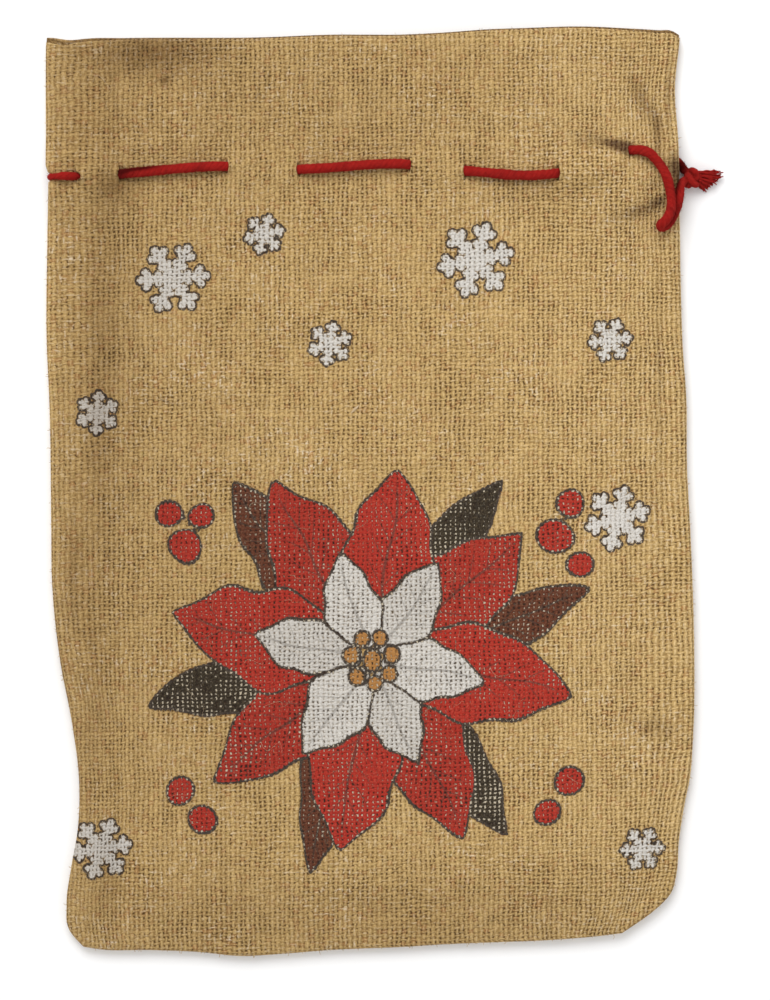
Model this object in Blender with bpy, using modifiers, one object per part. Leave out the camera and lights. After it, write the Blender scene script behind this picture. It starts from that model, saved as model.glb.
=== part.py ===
"""A burlap drawstring sack, empty, lying on its back with its mouth towards +Y and its face up.

The sack is two panels of burlap. Each panel is one sheet whose sides and foot are turned in as seam
allowances and whose top is turned in as a hem, so four layers of cloth lie on each other at a seam.
A wool cord runs in and out of both panels below the mouth and round the left edge. Its two ends are
knotted together past the right edge, and a slack loop of it lies on the face.

Metres, +Z up. The origin is on the ground under the middle of the sack.
"""

import math

import bmesh
import bpy
import numpy as np
from mathutils import Matrix, Vector

MM = 0.001

# Cloth
CLOTH = 1.2 * MM  # thickness of the burlap
FOLD = 1.0 * MM  # radius of a turned edge, to the middle of the cloth
SEAM_GAP = 0.4 * MM  # between the two allowances of a seam
GROUND = CLOTH / 2  # height of the back panel's middle where it lies flat
SEAM = 4 * FOLD + CLOTH + SEAM_GAP  # from the back panel's middle to the front's, at a seam
SIDE_TURN = 7 * MM  # width of the allowances at the sides
FOOT_TURN = 10 * MM  # width of the allowances at the foot
HEM = 15 * MM  # depth of the hem at the mouth
ARC_STEPS = 3  # flats in a turned edge

# Cord
CORD = 5.6 * MM  # diameter
CLEAR = 0.4 * MM  # between the cord and the cloth
LIE = CLOTH / 2 + CLEAR + CORD / 2  # from a cloth's middle to the middle of a cord that lies on it
UNDER = CORD / 2 + 0.1 * MM  # height of a cord that lies on the ground
DIVE = 15.0  # a cord passes from one side of the cloth to the other in this many millimetres
HOLE_LONG = 15.2 * MM
HOLE_WIDE = 7 * MM

# The outline of the turned edges, in millimetres. The sides run from the foot to the mouth.
LEFT_ROWS = (  # y, x
    (-250, -158), (-242, -165), (-227, -167), (-207, -164.5), (-187, -161), (-161, -160),
    (-127, -164), (-93, -170.5), (-50, -175), (-17, -175.5), (50, -176.5), (84, -178),
    (150, -177.2), (215, -178), (247, -177.5),
)
RIGHT_ROWS = (  # y, x
    (-242.5, 139), (-231, 155.5), (-221, 165.5), (-211, 168.5), (-192, 170), (-170, 173.5),
    (-158, 176), (-137, 177.7), (-71, 178.2), (-27, 176.6), (18, 174.4), (50, 174.2),
    (83, 172), (116, 171), (149, 170.5), (182, 169.6), (204, 168.8), (221, 167.8), (249, 170.5),
)
MOUTH_ROWS = (  # x, y
    (-177.5, 247), (-169, 245.6), (-158, 248), (-134, 248.7), (-57, 249.3), (-24, 250.9),
    (20, 250.9), (42, 252), (64, 253.7), (86, 254.5), (119, 255.3), (141, 254.2),
    (160, 252.6), (170.5, 249),
)
FOOT_ROWS = (  # x, y
    (-158, -250), (-149, -251.4), (-121, -251.8), (-94, -252.9), (-72, -255.1), (-50, -254),
    (-22, -251.8), (16, -250.2), (44, -248.5), (72, -247.4), (99, -246.3), (126, -244.1),
    (139, -242.5),
)

# How far the front stands off the back in the middle, over its height at a seam, in millimetres
LOFT_ROWS = (  # y, loft
    (-256, 7.6), (-150, 9.2), (-20, 9.8), (90, 9.4), (170, 10.2), (215, 9.2), (256, 7.4),
)
SIDE_REACH = 84 * MM  # the face rises from a side over this distance
FOOT_REACH = 70 * MM

# Soft folds of the face
TROUGH_IN = 27 * MM  # a long trough runs this far in from the left edge
TROUGH_WIDE = 9 * MM
TROUGH_ROWS = (  # y, depth, in millimetres
    (-250, 0.6), (-215, 2.3), (-150, 1.2), (-105, 2.6), (-60, 2.2), (0, 1.3), (60, 1.8),
    (120, 1.8), (175, 0.5), (215, 2.0), (250, 1.2),
)
ROLL_IN = 13 * MM  # between that trough and the edge the cloth makes a roll
ROLL_WIDE = 7 * MM
ROLL = 1.3 * MM
GROOVE_IN = 12.5 * MM  # the allowance's end shows through as a groove beside the right edge
GROOVE_WIDE = 3.6 * MM
GROOVE = 1.1 * MM
SWELLS = (  # x, y, half length, half width, turn in degrees, height
    (-124, 234, 30, 17, 0, -1.5),
    (-137, 140, 22, 12, 90, -1.0),
    (-85, 214, 42, 24, 0, 0.8),
    (33, -230, 92, 10, 0, -1.2),
    (-113, -240, 42, 8, 0, -0.9),
    (151, 214, 26, 6, 100, -1.1),
    (126, 193, 14, 5, -8, -1.2),
    (152, 152, 12, 5, 15, -1.0),
    (126, 172, 15, 7, 0, 0.9),
    (133, 88, 42, 11, 90, 0.9),
    (163, -131, 14, 5, -10, -0.9),
    (60, 232, 60, 5, 2, -0.7),
    (-20, 60, 70, 45, 20, -1.0),
    (95, -120, 40, 60, 0, 0.8),
    (-70, -150, 60, 40, -15, -0.9),
)

# The lines of the cord and the places of its holes, in millimetres. At both ends of a line the
# cord is outside the sack, and it changes side at each hole.
FRONT_HOLES = (-161.5, -138.0, -78.5, -40.0, 22.5, 51.5, 104.0, 139.5)
FRONT_LINE = (  # x, y
    (-176, 172.8), (-160, 173), (-139, 174), (-78, 178.5), (-41, 177), (23, 179.4), (51, 176.7),
    (104, 175.4), (122, 181), (139, 188.2), (150, 189.0),
)
BACK_HOLES = (-124.0, -92.0, -26.0, 6.0, 76.0, 108.0)
BACK_LINE = (  # x, y
    (-176, 172.8), (-150, 169), (-110, 167), (0, 167), (100, 168), (140, 176), (160, 182), (170, 184),
)
FRONT_SINK = 0.8 * MM  # the face gives under a stitch that lies on it
FRONT_HUMP = 1.6 * MM  # and stands up over one that lies inside
RIDGE = UNDER + LIE - GROUND  # the back panel stands up over a stitch that lies under it
PRESS_FLAT = 4 * MM  # half the width over which a stitch moves the cloth fully
PRESS_FOOT = 15 * MM  # and the distance at which it no longer moves the face
RIDGE_FOOT = 30 * MM  # or the back
NOTCH = 4.0 * MM  # the cord draws the left edge in by this
NOTCH_FLAT = 3 * MM
NOTCH_FOOT = 13 * MM
NOTCH_REACH = 30 * MM  # the cloth further in than this isn't moved

# The slack loop, from its hole on the face to its turn and back to the right edge, in millimetres
LOOP_ROWS = (  # x, y, height over the face
    (147.5, 188.4, 4.2), (152.6, 186.8, 4.4), (157.6, 182.4, 4.5), (161.6, 176.4, 4.5),
    (164.2, 169.6, 4.8), (165.4, 162.6, 6.6), (165.2, 156.2, 9.4), (163.4, 151.2, 10.8),
    (161.2, 148.6, 10.4), (159.8, 147.2, 8.4), (160.4, 146.2, 5.6), (162.8, 147.0, 4.3),
    (166.0, 150.8, 4.1), (168.4, 156.4, 4.1),
)
# and on to the knot
FALL_ROWS = (  # x, y, height over the ground
    (170.6, 161.6, 12.3), (172.0, 165.4, 12.3), (173.1, 168.6, 11.5), (174.2, 170.8, 8.3),
)
# The other end, from under the right edge to the knot, in millimetres
RISE_ROWS = (  # x, y, height over the ground
    (163.8, 183.2, 2.9), (167.2, 184.0, 2.95), (170.1, 182.9, 3.1), (172.4, 180.3, 3.8),
    (174.4, 177.4, 4.5),
)

# The cord's points
CORD_GAP = 24.0  # the widest gap between them
FRONT_NEAR = (-7.0, -2.4, 2.4, 7.0)  # points beside each hole of the face
BACK_NEAR = (-7.0, 7.0)  # and of the back
WRAP_TURNS = (18, 55, 86, 94, 125, 162)  # degrees round the left edge
NARROW = 0.72  # the cord's width there and where it enters the knot, over its width
WRAP_PAST = -168.5  # the lines of the cord run from here, in millimetres
FRONT_PAST = 143.5  # to here on the face
BACK_PAST = 160.0  # and to here under the back

# Knot and frayed ends
KNOT_AT = Vector((178.0, 173.7, 5.2)) * MM
KNOT_SIZE = Vector((8.2, 11.2, 9.6)) * MM
KNOT_TURN = 1.7 * MM  # half the thickness of the turn of cord that is drawn round it
KNOT_TURN_AT = KNOT_AT + Vector((1.3, 0, 0)) * MM
KNOT_LEAN = (0, math.radians(80), math.radians(8))
TAIL_AT = Vector((184.6, 174.2, 4.6)) * MM
TAIL_SIZE = Vector((4.6, 5.2, 5.0)) * MM
LOCK_STEPS = 3
LOCK_SAG = 3 * MM
TAIL_LOCKS = (  # end x, y and height, and width at the root, in millimetres
    (194.2, 177.4, 3.6, 3.0),
    (194.8, 174.2, 2.4, 3.0),
    (192.2, 171.2, 3.4, 2.8),
    (188.6, 169.4, 1.8, 2.6),
    (185.4, 165.6, 1.6, 2.0),
)

# Rows of the panels' grids, in millimetres
LEVELS = (
    -250, -239, -227, -208, -182, -150, -115, -80, -44, -8, 28, 64, 98, 126, 144, 155,
    163, 169.5, 176.2, 182, 189, 197, 205.5, 216, 231, 247,
)
COLUMN_GAP = 24.0  # the widest gap between the grid's columns
COLUMN_NEAR = (-6.5, 6.5)  # columns beside each hole

BURLAP = (0.45, 0.31, 0.13)
WOOL = (0.40, 0.012, 0.01)


def smooth(rows, at):
    """The value at each place of a curve drawn smoothly through rows of place and value."""
    place, value = np.array(rows, float).T
    slope = np.gradient(value, place)
    at = np.clip(np.asarray(at, float), place[0], place[-1])
    row = np.clip(np.searchsorted(place, at, side="right") - 1, 0, len(place) - 2)
    gap = place[row + 1] - place[row]
    t = (at - place[row]) / gap
    rise = value[row + 1] - value[row]
    start, end = slope[row] * gap, slope[row + 1] * gap
    return value[row] + t * (start + t * ((3 * rise - 2 * start - end) + t * (start + end - 2 * rise)))


def ease(t):
    """0 before 0, 1 after 1, and a smooth S between."""
    t = np.clip(t, 0, 1)
    return t * t * (3 - 2 * t)


def hump(distance, flat, foot):
    """1 within flat of a line, 0 beyond foot, and a smooth slope between."""
    return 1 - ease((np.abs(distance) - flat) / (foot - flat))


def side_of(x, holes):
    """1 where a cord lies outside the sack and -1 where it lies inside, half a cosine at a hole."""
    passed = sum(np.clip((x / MM - hole) / DIVE + 0.5, 0, 1) for hole in holes)
    return np.cos(np.pi * passed)


def beside(x, y, line, foot):
    """1 by a cord's line, and 0 from the distance foot, where the cord no longer moves the cloth."""
    return hump(y - smooth(line, x / MM) * MM, PRESS_FLAT, foot)


def notch(y):
    """How far the cord draws the left edge in."""
    return NOTCH * hump(y - FRONT_LINE[0][1] * MM, NOTCH_FLAT, NOTCH_FOOT)


def left_line(y):
    """The left edge as it would be without the notch."""
    return smooth(LEFT_ROWS, y / MM) * MM


def left_edge(y):
    return left_line(y) + notch(y)


def right_edge(y):
    return smooth(RIGHT_ROWS, y / MM) * MM


def mouth_edge(x):
    return smooth(MOUTH_ROWS, x / MM) * MM


def foot_edge(x):
    return smooth(FOOT_ROWS, x / MM) * MM


def back_height(x, y):
    """The height of the middle of the back panel."""
    return GROUND + RIDGE * beside(x, y, BACK_LINE, RIDGE_FOOT) * (1 + side_of(x, BACK_HOLES)) / 2


def rise_from(distance, reach):
    """0 at an edge and 1 beyond reach, steepest at the edge."""
    return 1 - (1 - np.clip(distance / reach, 0, 1)) ** 2


def front_height(x, y):
    """The height of the middle of the front panel."""
    left, right, foot = x - left_edge(y), right_edge(y) - x, y - foot_edge(x)
    apart = rise_from(left, SIDE_REACH) * rise_from(right, SIDE_REACH) * rise_from(foot, FOOT_REACH)
    height = GROUND + SEAM + RIDGE * beside(x, y, BACK_LINE, RIDGE_FOOT) * (1 - apart)
    height = height + smooth(LOFT_ROWS, y / MM) * MM * apart
    side = side_of(x, FRONT_HOLES)
    give = np.where(side > 0, -FRONT_SINK, -FRONT_HUMP) * side
    give = give * ease(left / (12 * MM)) * ease(right / (24 * MM))
    height = height + give * beside(x, y, FRONT_LINE, PRESS_FOOT)

    inside = ease((foot - FOOT_TURN) / (12 * MM))
    trough = smooth(TROUGH_ROWS, y / MM) * MM
    roll = ROLL * (1 - hump(y - FRONT_LINE[0][1] * MM, NOTCH_FLAT, 2 * NOTCH_FOOT))
    height = height - inside * trough * np.exp(-(((left - TROUGH_IN) / TROUGH_WIDE) ** 2))
    height = height + inside * roll * np.exp(-(((left - ROLL_IN) / ROLL_WIDE) ** 2))
    height = height - inside * GROOVE * np.exp(-(((right - GROOVE_IN) / GROOVE_WIDE) ** 2))
    inside = inside * ease((np.minimum(left, right) - SIDE_TURN) / (12 * MM))
    for mid_x, mid_y, long, wide, turn, tall in SWELLS:
        c, s = math.cos(math.radians(turn)), math.sin(math.radians(turn))
        dx, dy = x / MM - mid_x, y / MM - mid_y
        spread = ((dx * c + dy * s) / long) ** 2 + ((dy * c - dx * s) / wide) ** 2
        height = height + tall * MM * np.exp(-spread) * inside
    return height


def patch(u, v):
    """The plan of a panel: u runs from its left side to its right, v from its foot to its mouth.

    A Coons patch: opposite sides joined both ways, less the corners, which are then counted twice.
    The notch is added near the left side alone.
    """
    left_foot, left_mouth, right_foot, right_mouth = (
        np.array(row[::-1]) * MM for row in (LEFT_ROWS[0], LEFT_ROWS[-1], RIGHT_ROWS[0], RIGHT_ROWS[-1])
    )
    u, v = u[..., None], v[..., None]
    left_y = left_foot[1] + v * (left_mouth[1] - left_foot[1])
    right_y = right_foot[1] + v * (right_mouth[1] - right_foot[1])
    foot_x = left_foot[0] + u * (right_foot[0] - left_foot[0])
    mouth_x = left_mouth[0] + u * (right_mouth[0] - left_mouth[0])
    across = (1 - u) * np.concatenate([left_line(left_y), left_y], -1)
    across = across + u * np.concatenate([right_edge(right_y), right_y], -1)
    along = (1 - v) * np.concatenate([foot_x, foot_edge(foot_x)], -1)
    along = along + v * np.concatenate([mouth_x, mouth_edge(mouth_x)], -1)
    corners = (1 - u) * ((1 - v) * left_foot + v * left_mouth)
    corners = corners + u * ((1 - v) * right_foot + v * right_mouth)
    plan = across + along - corners
    near = hump(u * (right_foot[0] - left_foot[0]), 0, NOTCH_REACH)
    plan[..., :1] += notch(plan[..., 1:]) * near
    return plan


def places(start, end, margin, holes, near, longest):
    """Places from start to end, and a margin in from both: some near each hole, none far apart."""
    first, last = start + margin, end - margin
    marks = [hole + step for hole in holes for step in near]
    marks = sorted({start, first, last, end, *(m for m in marks if first + 2 < m < last - 2)})
    found = [start]
    for a, b in zip(marks, marks[1:]):
        parts = math.ceil((b - a) / longest)
        found += [a + (b - a) * k / parts for k in range(1, parts + 1)]
    return found


def material(name, colour, roughness):
    made = bpy.data.materials.new(name)
    made.use_nodes = True
    shader = made.node_tree.nodes["Principled BSDF"]
    shader.inputs["Base Color"].default_value = (*colour, 1)
    shader.inputs["Roughness"].default_value = roughness
    shader.inputs["Metallic"].default_value = 0
    return made


def add(name, data, collection, finish=None):
    obj = bpy.data.objects.new(name, data)
    collection.objects.link(obj)
    if finish:
        data.materials.append(finish)
    return obj


def hide(obj):
    """Mark an object as a tool for shaping others."""
    obj.hide_render = True
    obj.display_type = "WIRE"
    return obj


def sheet(name, height, inward, holes, line):
    """The middle surface of a panel, with its edges turned in.

    The grid's rim is continued by rings: a half turn of radius FOLD, and then a return on the hidden
    side to the ends of the allowances and the hem. inward is -1 where that side is below the panel,
    and 1 where it is above. The grid's first lines lie just past the ends of the returns.
    """
    level = line[0][1] * MM
    left, right = float(left_line(level)), float(right_edge(level))
    past_turn = SIDE_TURN / MM + 1
    columns = places(left / MM, right / MM, past_turn, holes, COLUMN_NEAR, COLUMN_GAP)
    u = (np.array(columns) * MM - left) / (right - left)
    v = (np.array(LEVELS) - LEVELS[0]) / (LEVELS[-1] - LEVELS[0])
    grid_u, grid_v = np.meshgrid(u, v)
    plan = patch(grid_u, grid_v).reshape(-1, 2)
    ids = np.arange(len(plan)).reshape(grid_u.shape)
    rim = np.concatenate([ids[0, :-1], ids[:-1, -1], ids[-1, :0:-1], ids[:0:-1, 0]])
    rim_u, rim_v, edge = grid_u.ravel()[rim], grid_v.ravel()[rim], plan[rim]
    width, length = right - left, (LEVELS[-1] - LEVELS[0]) * MM

    turned_u = np.clip(rim_u, SIDE_TURN / width, 1 - SIDE_TURN / width)
    turned_v = np.clip(rim_v, FOOT_TURN / length, 1 - HEM / length)
    turned = patch(turned_u, turned_v)
    heading = turned - edge
    heading /= np.linalg.norm(heading, axis=1)[:, None]
    edge_height = height(edge[:, 0], edge[:, 1])
    rings = []
    for turn in np.linspace(0, math.pi, ARC_STEPS + 1):
        flat = edge + heading * FOLD * (1 - math.sin(turn))
        rings.append(np.column_stack([flat, edge_height + inward * FOLD * (1 - math.cos(turn))]))
    turned_height = height(turned[:, 0], turned[:, 1]) + inward * 2 * FOLD
    rings.append(np.column_stack([turned, turned_height]))

    points = np.column_stack([plan, height(plan[:, 0], plan[:, 1])])
    points[rim] = rings[0]
    points = np.vstack([points, *rings[1:]])
    loops = [rim, *(ids.size + len(rim) * k + np.arange(len(rim)) for k in range(len(rings) - 1))]
    faces = [np.stack([ids[:-1, :-1], ids[:-1, 1:], ids[1:, 1:], ids[1:, :-1]], -1).reshape(-1, 4)]
    for last, new in zip(loops, loops[1:]):
        faces.append(np.stack([last, new, np.roll(new, -1), np.roll(last, -1)], -1))
    mesh = bpy.data.meshes.new(name)
    mesh.from_pydata(points.tolist(), [], np.vstack(faces).tolist())
    mesh.shade_smooth()
    mesh.set_sharp_from_angle(angle=math.radians(60))
    return mesh


def hole_cutter(name, x, line, height, cutters):
    """An upright oval plug through the cloth at one hole, turned along the cord."""
    before, y, after = (float(v) for v in smooth(line, (x - 1, x, x + 1)))
    form = bmesh.new()
    bmesh.ops.create_cone(form, cap_ends=True, segments=12, radius1=0.5, radius2=0.5, depth=14 * MM)
    bmesh.ops.scale(form, vec=(HOLE_LONG, HOLE_WIDE, 1), verts=form.verts)
    mesh = bpy.data.meshes.new(name)
    form.to_mesh(mesh)
    form.free()
    cutter = hide(add(name, mesh, cutters))
    cutter.location = (x * MM, y * MM, float(height(x * MM, y * MM)))
    cutter.rotation_euler.z = math.atan((after - before) / 2)
    return cutter


def panel(name, height, inward, holes, line, finish, parts, cutters):
    """One panel: its sheet, given the cloth's thickness, with a hole at each pass of the cord."""
    obj = add(name, sheet(name, height, inward, holes, line), parts, finish)
    thick = obj.modifiers.new("cloth", "SOLIDIFY")
    thick.thickness = CLOTH
    thick.offset = 0
    for number, x in enumerate(holes, 1):
        cut = obj.modifiers.new(f"hole {number}", "BOOLEAN")
        cut.operation = "DIFFERENCE"
        cut.object = hole_cutter(f"{name}_hole_{number}", x, line, height, cutters)
    return obj


def stitched(start, end, holes, line, height, near):
    """The cord's centreline along a line of holes.

    It lies LIE from the middle of the cloth, outside the sack at both ends, and crosses to the other
    side at each hole.
    """
    xs = np.array(places(start, end, 0, holes, near, CORD_GAP))
    x, y = xs * MM, smooth(line, xs) * MM
    outward = 1 if height is front_height else -1
    return np.column_stack([x, y, height(x, y) + outward * LIE * side_of(x, holes)])


def wrap():
    """The cord's centreline round the left edge, from the face to the back, and its share of CORD.

    It follows the two turned edges, each a half circle about the middle of its turn, and the cord
    is drawn narrow there.
    """
    y = FRONT_LINE[0][1] * MM
    edge = float(left_edge(y))
    off = FOLD + CLOTH / 2 + CLEAR + NARROW * CORD / 2
    top = float(front_height(edge, y)) - FOLD
    low = float(back_height(edge, y)) + FOLD
    turns = [math.radians(t) for t in WRAP_TURNS]
    points = [
        (edge + FOLD - off * math.sin(t), y, (top if t < math.pi / 2 else low) + off * math.cos(t))
        for t in turns
    ]
    return np.array(points)


def over_face(rows):
    """Points given by their height over the face, in metres."""
    x, y, over = np.array(rows).T * MM
    return np.column_stack([x, y, front_height(x, y) + over])


def cord_route():
    """The cord's centreline, from the knot over the loop and round the sack to the knot again."""
    front = stitched(WRAP_PAST, FRONT_PAST, FRONT_HOLES, FRONT_LINE, front_height, FRONT_NEAR)
    back = stitched(WRAP_PAST, BACK_PAST, BACK_HOLES, BACK_LINE, back_height, BACK_NEAR)
    fall, rise = np.array(FALL_ROWS) * MM, np.array(RISE_ROWS) * MM
    route = [fall[::-1], over_face(LOOP_ROWS)[::-1], front[::-1], wrap(), back, rise]
    width = [np.ones(len(part)) for part in route]
    width[3][:] = NARROW
    width[0][0] = width[-1][-1] = NARROW
    return np.vstack(route), np.concatenate(width)


def cord(finish, parts):
    route, width = cord_route()
    curve = bpy.data.curves.new("drawstring", "CURVE")
    curve.dimensions = "3D"
    curve.bevel_depth = CORD / 2
    curve.bevel_resolution = 2
    curve.use_fill_caps = True
    line = curve.splines.new("POLY")
    line.points.add(len(route) - 1)
    line.points.foreach_set("co", np.column_stack([route, np.ones(len(route))]).ravel())
    line.points.foreach_set("radius", width)
    return add("drawstring", curve, parts, finish)


def ball(name, size, at, segments, rings, collection):
    form = bmesh.new()
    bmesh.ops.create_uvsphere(form, u_segments=segments, v_segments=rings, radius=0.5)
    bmesh.ops.scale(form, vec=size, verts=form.verts)
    mesh = bpy.data.meshes.new(name)
    form.to_mesh(mesh)
    form.free()
    mesh.shade_smooth()
    obj = add(name, mesh, collection)
    obj.location = at
    return obj


def join(obj, other):
    """Unite a hidden helper with an object."""
    union = obj.modifiers.new(other.name, "BOOLEAN")
    union.operation = "UNION"
    union.object = hide(other)


def knot(finish, parts, cutters):
    """The overhand knot: a lump with a turn of the cord drawn tight round it."""
    obj = ball("knot", KNOT_SIZE, KNOT_AT, 14, 9, parts)
    obj.data.materials.append(finish)
    bpy.ops.mesh.primitive_torus_add(
        major_radius=KNOT_SIZE.y / 2 - 1.3 * KNOT_TURN,
        minor_radius=KNOT_TURN,
        major_segments=16,
        minor_segments=8,
        location=KNOT_TURN_AT,
        rotation=KNOT_LEAN,
    )
    turn = bpy.context.object
    turn.name = "knot_turn"
    for collection in list(turn.users_collection):
        collection.objects.unlink(turn)
    cutters.objects.link(turn)
    join(obj, turn)


def lock(name, end, width, cutters):
    """One lock of frayed wool: four-sided rings that taper along a sagging line."""
    form = bmesh.new()
    last = None
    run = end - TAIL_AT
    for step in range(LOCK_STEPS + 1):
        t = step / LOCK_STEPS
        middle = TAIL_AT + run * t + Vector((0, 0, LOCK_SAG * t * (1 - t)))
        frame = run.to_track_quat("Z", "Y").to_matrix().to_4x4()
        ring = bmesh.ops.create_circle(
            form, segments=4, radius=width / 2 * (1 - 0.6 * t), matrix=Matrix.Translation(middle) @ frame
        )["verts"]
        if last:
            for k in range(4):
                form.faces.new((last[k], last[k - 3], ring[k - 3], ring[k]))
        else:
            form.faces.new(ring[::-1])
        last = ring
    form.faces.new(last)
    bmesh.ops.recalc_face_normals(form, faces=form.faces)
    mesh = bpy.data.meshes.new(name)
    form.to_mesh(mesh)
    form.free()
    return add(name, mesh, cutters)


def tail(finish, parts, cutters):
    """The frayed ends of the cord: locks that spread from one root."""
    obj = ball("tail", TAIL_SIZE, TAIL_AT, 10, 7, parts)
    obj.data.materials.append(finish)
    for number, (x, y, z, width) in enumerate(TAIL_LOCKS, 1):
        join(obj, lock(f"lock_{number}", Vector((x, y, z)) * MM, width * MM, cutters))


def build():
    for obj in list(bpy.data.objects):
        bpy.data.objects.remove(obj)
    parts = bpy.data.collections.new("burlap sack")
    cutters = bpy.data.collections.new("cutters")
    for collection in (parts, cutters):
        bpy.context.scene.collection.children.link(collection)
    cutters.hide_render = True

    burlap = material("burlap", BURLAP, 0.9)
    panel("front_panel", front_height, -1, FRONT_HOLES, FRONT_LINE, burlap, parts, cutters)
    panel("back_panel", back_height, 1, BACK_HOLES, BACK_LINE, burlap, parts, cutters)
    wool = material("wool", WOOL, 0.95)
    cord(wool, parts)
    knot(wool, parts, cutters)
    tail(wool, parts, cutters)


build()
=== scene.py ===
# %% [markdown]
# # A burlap drawstring sack
#
# This lesson dresses an empty burlap sack that lies on its back. The sack is two panels of coarse
# jute cloth, sewn together at the sides and the foot, with a red wool cord threaded below the mouth
# and knotted past the right edge. The solids of the model give each piece its place and size. The
# lesson makes the finer pieces that take their places: the cloth with its soft folds and turned
# edges, the twisted cord, the knot and its frayed ends, loose fibres, and the printed flower.
#
# Everything is in metres, +Y runs to the mouth and +Z up, out of the printed face.

# %% Load the frame
import math

import bpy
import numpy as np
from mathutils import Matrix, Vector


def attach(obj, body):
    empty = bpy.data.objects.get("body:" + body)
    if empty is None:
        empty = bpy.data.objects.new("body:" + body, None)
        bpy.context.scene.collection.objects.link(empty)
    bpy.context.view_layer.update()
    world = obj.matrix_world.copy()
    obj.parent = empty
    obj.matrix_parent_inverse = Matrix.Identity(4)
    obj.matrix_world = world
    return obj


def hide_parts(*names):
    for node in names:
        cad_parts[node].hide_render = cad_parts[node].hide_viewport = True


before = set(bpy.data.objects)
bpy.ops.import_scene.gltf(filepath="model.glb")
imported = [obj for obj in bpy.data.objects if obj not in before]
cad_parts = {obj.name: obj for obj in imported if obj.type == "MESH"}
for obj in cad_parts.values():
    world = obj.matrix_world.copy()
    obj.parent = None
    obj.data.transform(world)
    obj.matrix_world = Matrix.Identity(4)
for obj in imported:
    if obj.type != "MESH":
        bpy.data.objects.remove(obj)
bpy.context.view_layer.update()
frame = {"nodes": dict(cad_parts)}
MM = 0.001
print("nodes:", ", ".join(frame["nodes"]))

# %% [markdown]
# ## Camera
#
# The sack is seen from straight above. The photograph's scale is known, so the lens can be worked
# out: a camera far up with a long lens sees the flat face with almost no perspective, and the view is
# as tall as the picture's pixels times the size of a pixel.

# %% Camera
PICTURE = (770, 1000)  # pixels
PIXEL = 0.552 * MM
ORIGIN_PIXEL = (370, 493)  # the pixel under which the origin lies
CAMERA_HEIGHT = 1.9
SCALE_LEVEL = 6 * MM  # the height at which a pixel has that size
SENSOR = 36.0

camera_data = bpy.data.cameras.new("camera")
camera_data.sensor_fit = "VERTICAL"
camera_data.sensor_height = SENSOR
camera_data.lens = SENSOR * (CAMERA_HEIGHT - SCALE_LEVEL) / (PICTURE[1] * PIXEL)
camera = bpy.data.objects.new("camera", camera_data)
camera.location = (
    (PICTURE[0] / 2 - ORIGIN_PIXEL[0]) * PIXEL,
    (ORIGIN_PIXEL[1] - PICTURE[1] / 2) * PIXEL,
    CAMERA_HEIGHT,
)
bpy.context.scene.collection.objects.link(camera)
bpy.context.scene.camera = camera
print("lens:", round(camera_data.lens, 1), "mm")

# %% [markdown]
# ## Curves from short tables
#
# The outline and the folds are given by short tables of place and value. A smooth curve through such
# a table is enough to draw them. An S-shaped step and a flat-topped hump are the two other shapes
# from which the folds are made.

# %% Curves


def smooth(rows, at):
    """The value at each place of a smooth curve through rows of place and value.

    Between two rows it is a cubic whose slope at each row is that of the row's two neighbours.
    """
    place, value = np.array(rows, float).T
    slope = np.gradient(value, place)
    at = np.clip(np.asarray(at, float), place[0], place[-1])
    row = np.clip(np.searchsorted(place, at, side="right") - 1, 0, len(place) - 2)
    gap = place[row + 1] - place[row]
    t = (at - place[row]) / gap
    rise = value[row + 1] - value[row]
    start, end = slope[row] * gap, slope[row + 1] * gap
    return value[row] + t * (start + t * ((3 * rise - 2 * start - end) + t * (start + end - 2 * rise)))


def ease(t):
    """0 before 0, 1 after 1, and between them 3 t squared less 2 t cubed."""
    t = np.clip(t, 0, 1)
    return t * t * (3 - 2 * t)


def hump(distance, flat, foot):
    """1 within flat of a line, 0 beyond foot, and an eased slope between."""
    return 1 - ease((np.abs(distance) - flat) / (foot - flat))


def rotated(x, y, degrees):
    """A place in a frame that is turned by an angle."""
    c, s = math.cos(math.radians(degrees)), math.sin(math.radians(degrees))
    return x * c + y * s, y * c - x * s


def ovals(x, y, rows):
    """The sum of soft ovals at each place, all in millimetres. Each falls off as a bell curve."""
    found = 0.0
    for mid_x, mid_y, long, wide, turn, tall in rows:
        along, across = rotated(x - mid_x, y - mid_y, turn)
        found = found + tall * np.exp(-((along / long) ** 2) - (across / wide) ** 2)
    return found


def run_along(path):
    """How far along a path each of its points is."""
    return np.concatenate([[0], np.cumsum(np.linalg.norm(np.diff(path, axis=0), axis=1))])


def ripples(x, y, length, seed, waves=9):
    """Smooth unevenness, mostly between -1.4 and 1.4: sine waves of random headings.

    Each wave's length is between 0.7 and 1.6 times the given one. Their sum is divided by the root of
    their number.
    """
    draw = np.random.default_rng(seed)
    heading = draw.uniform(0, 2 * math.pi, waves)
    wave = 2 * math.pi / (length * draw.uniform(0.7, 1.6, waves))
    phase = draw.uniform(0, 2 * math.pi, waves)
    along = x[..., None] * np.cos(heading) + y[..., None] * np.sin(heading)
    return np.sin(along * wave + phase).sum(-1) / math.sqrt(waves)


print("half way up the S:", ease(0.5))

# %% [markdown]
# ## The sack's outline
#
# The four sides of the sack are not straight: the cloth has been handled, and the sides wave. Each
# side is a table read from the photograph at real size. The cord draws the left edge in a little where
# it goes round it.

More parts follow.
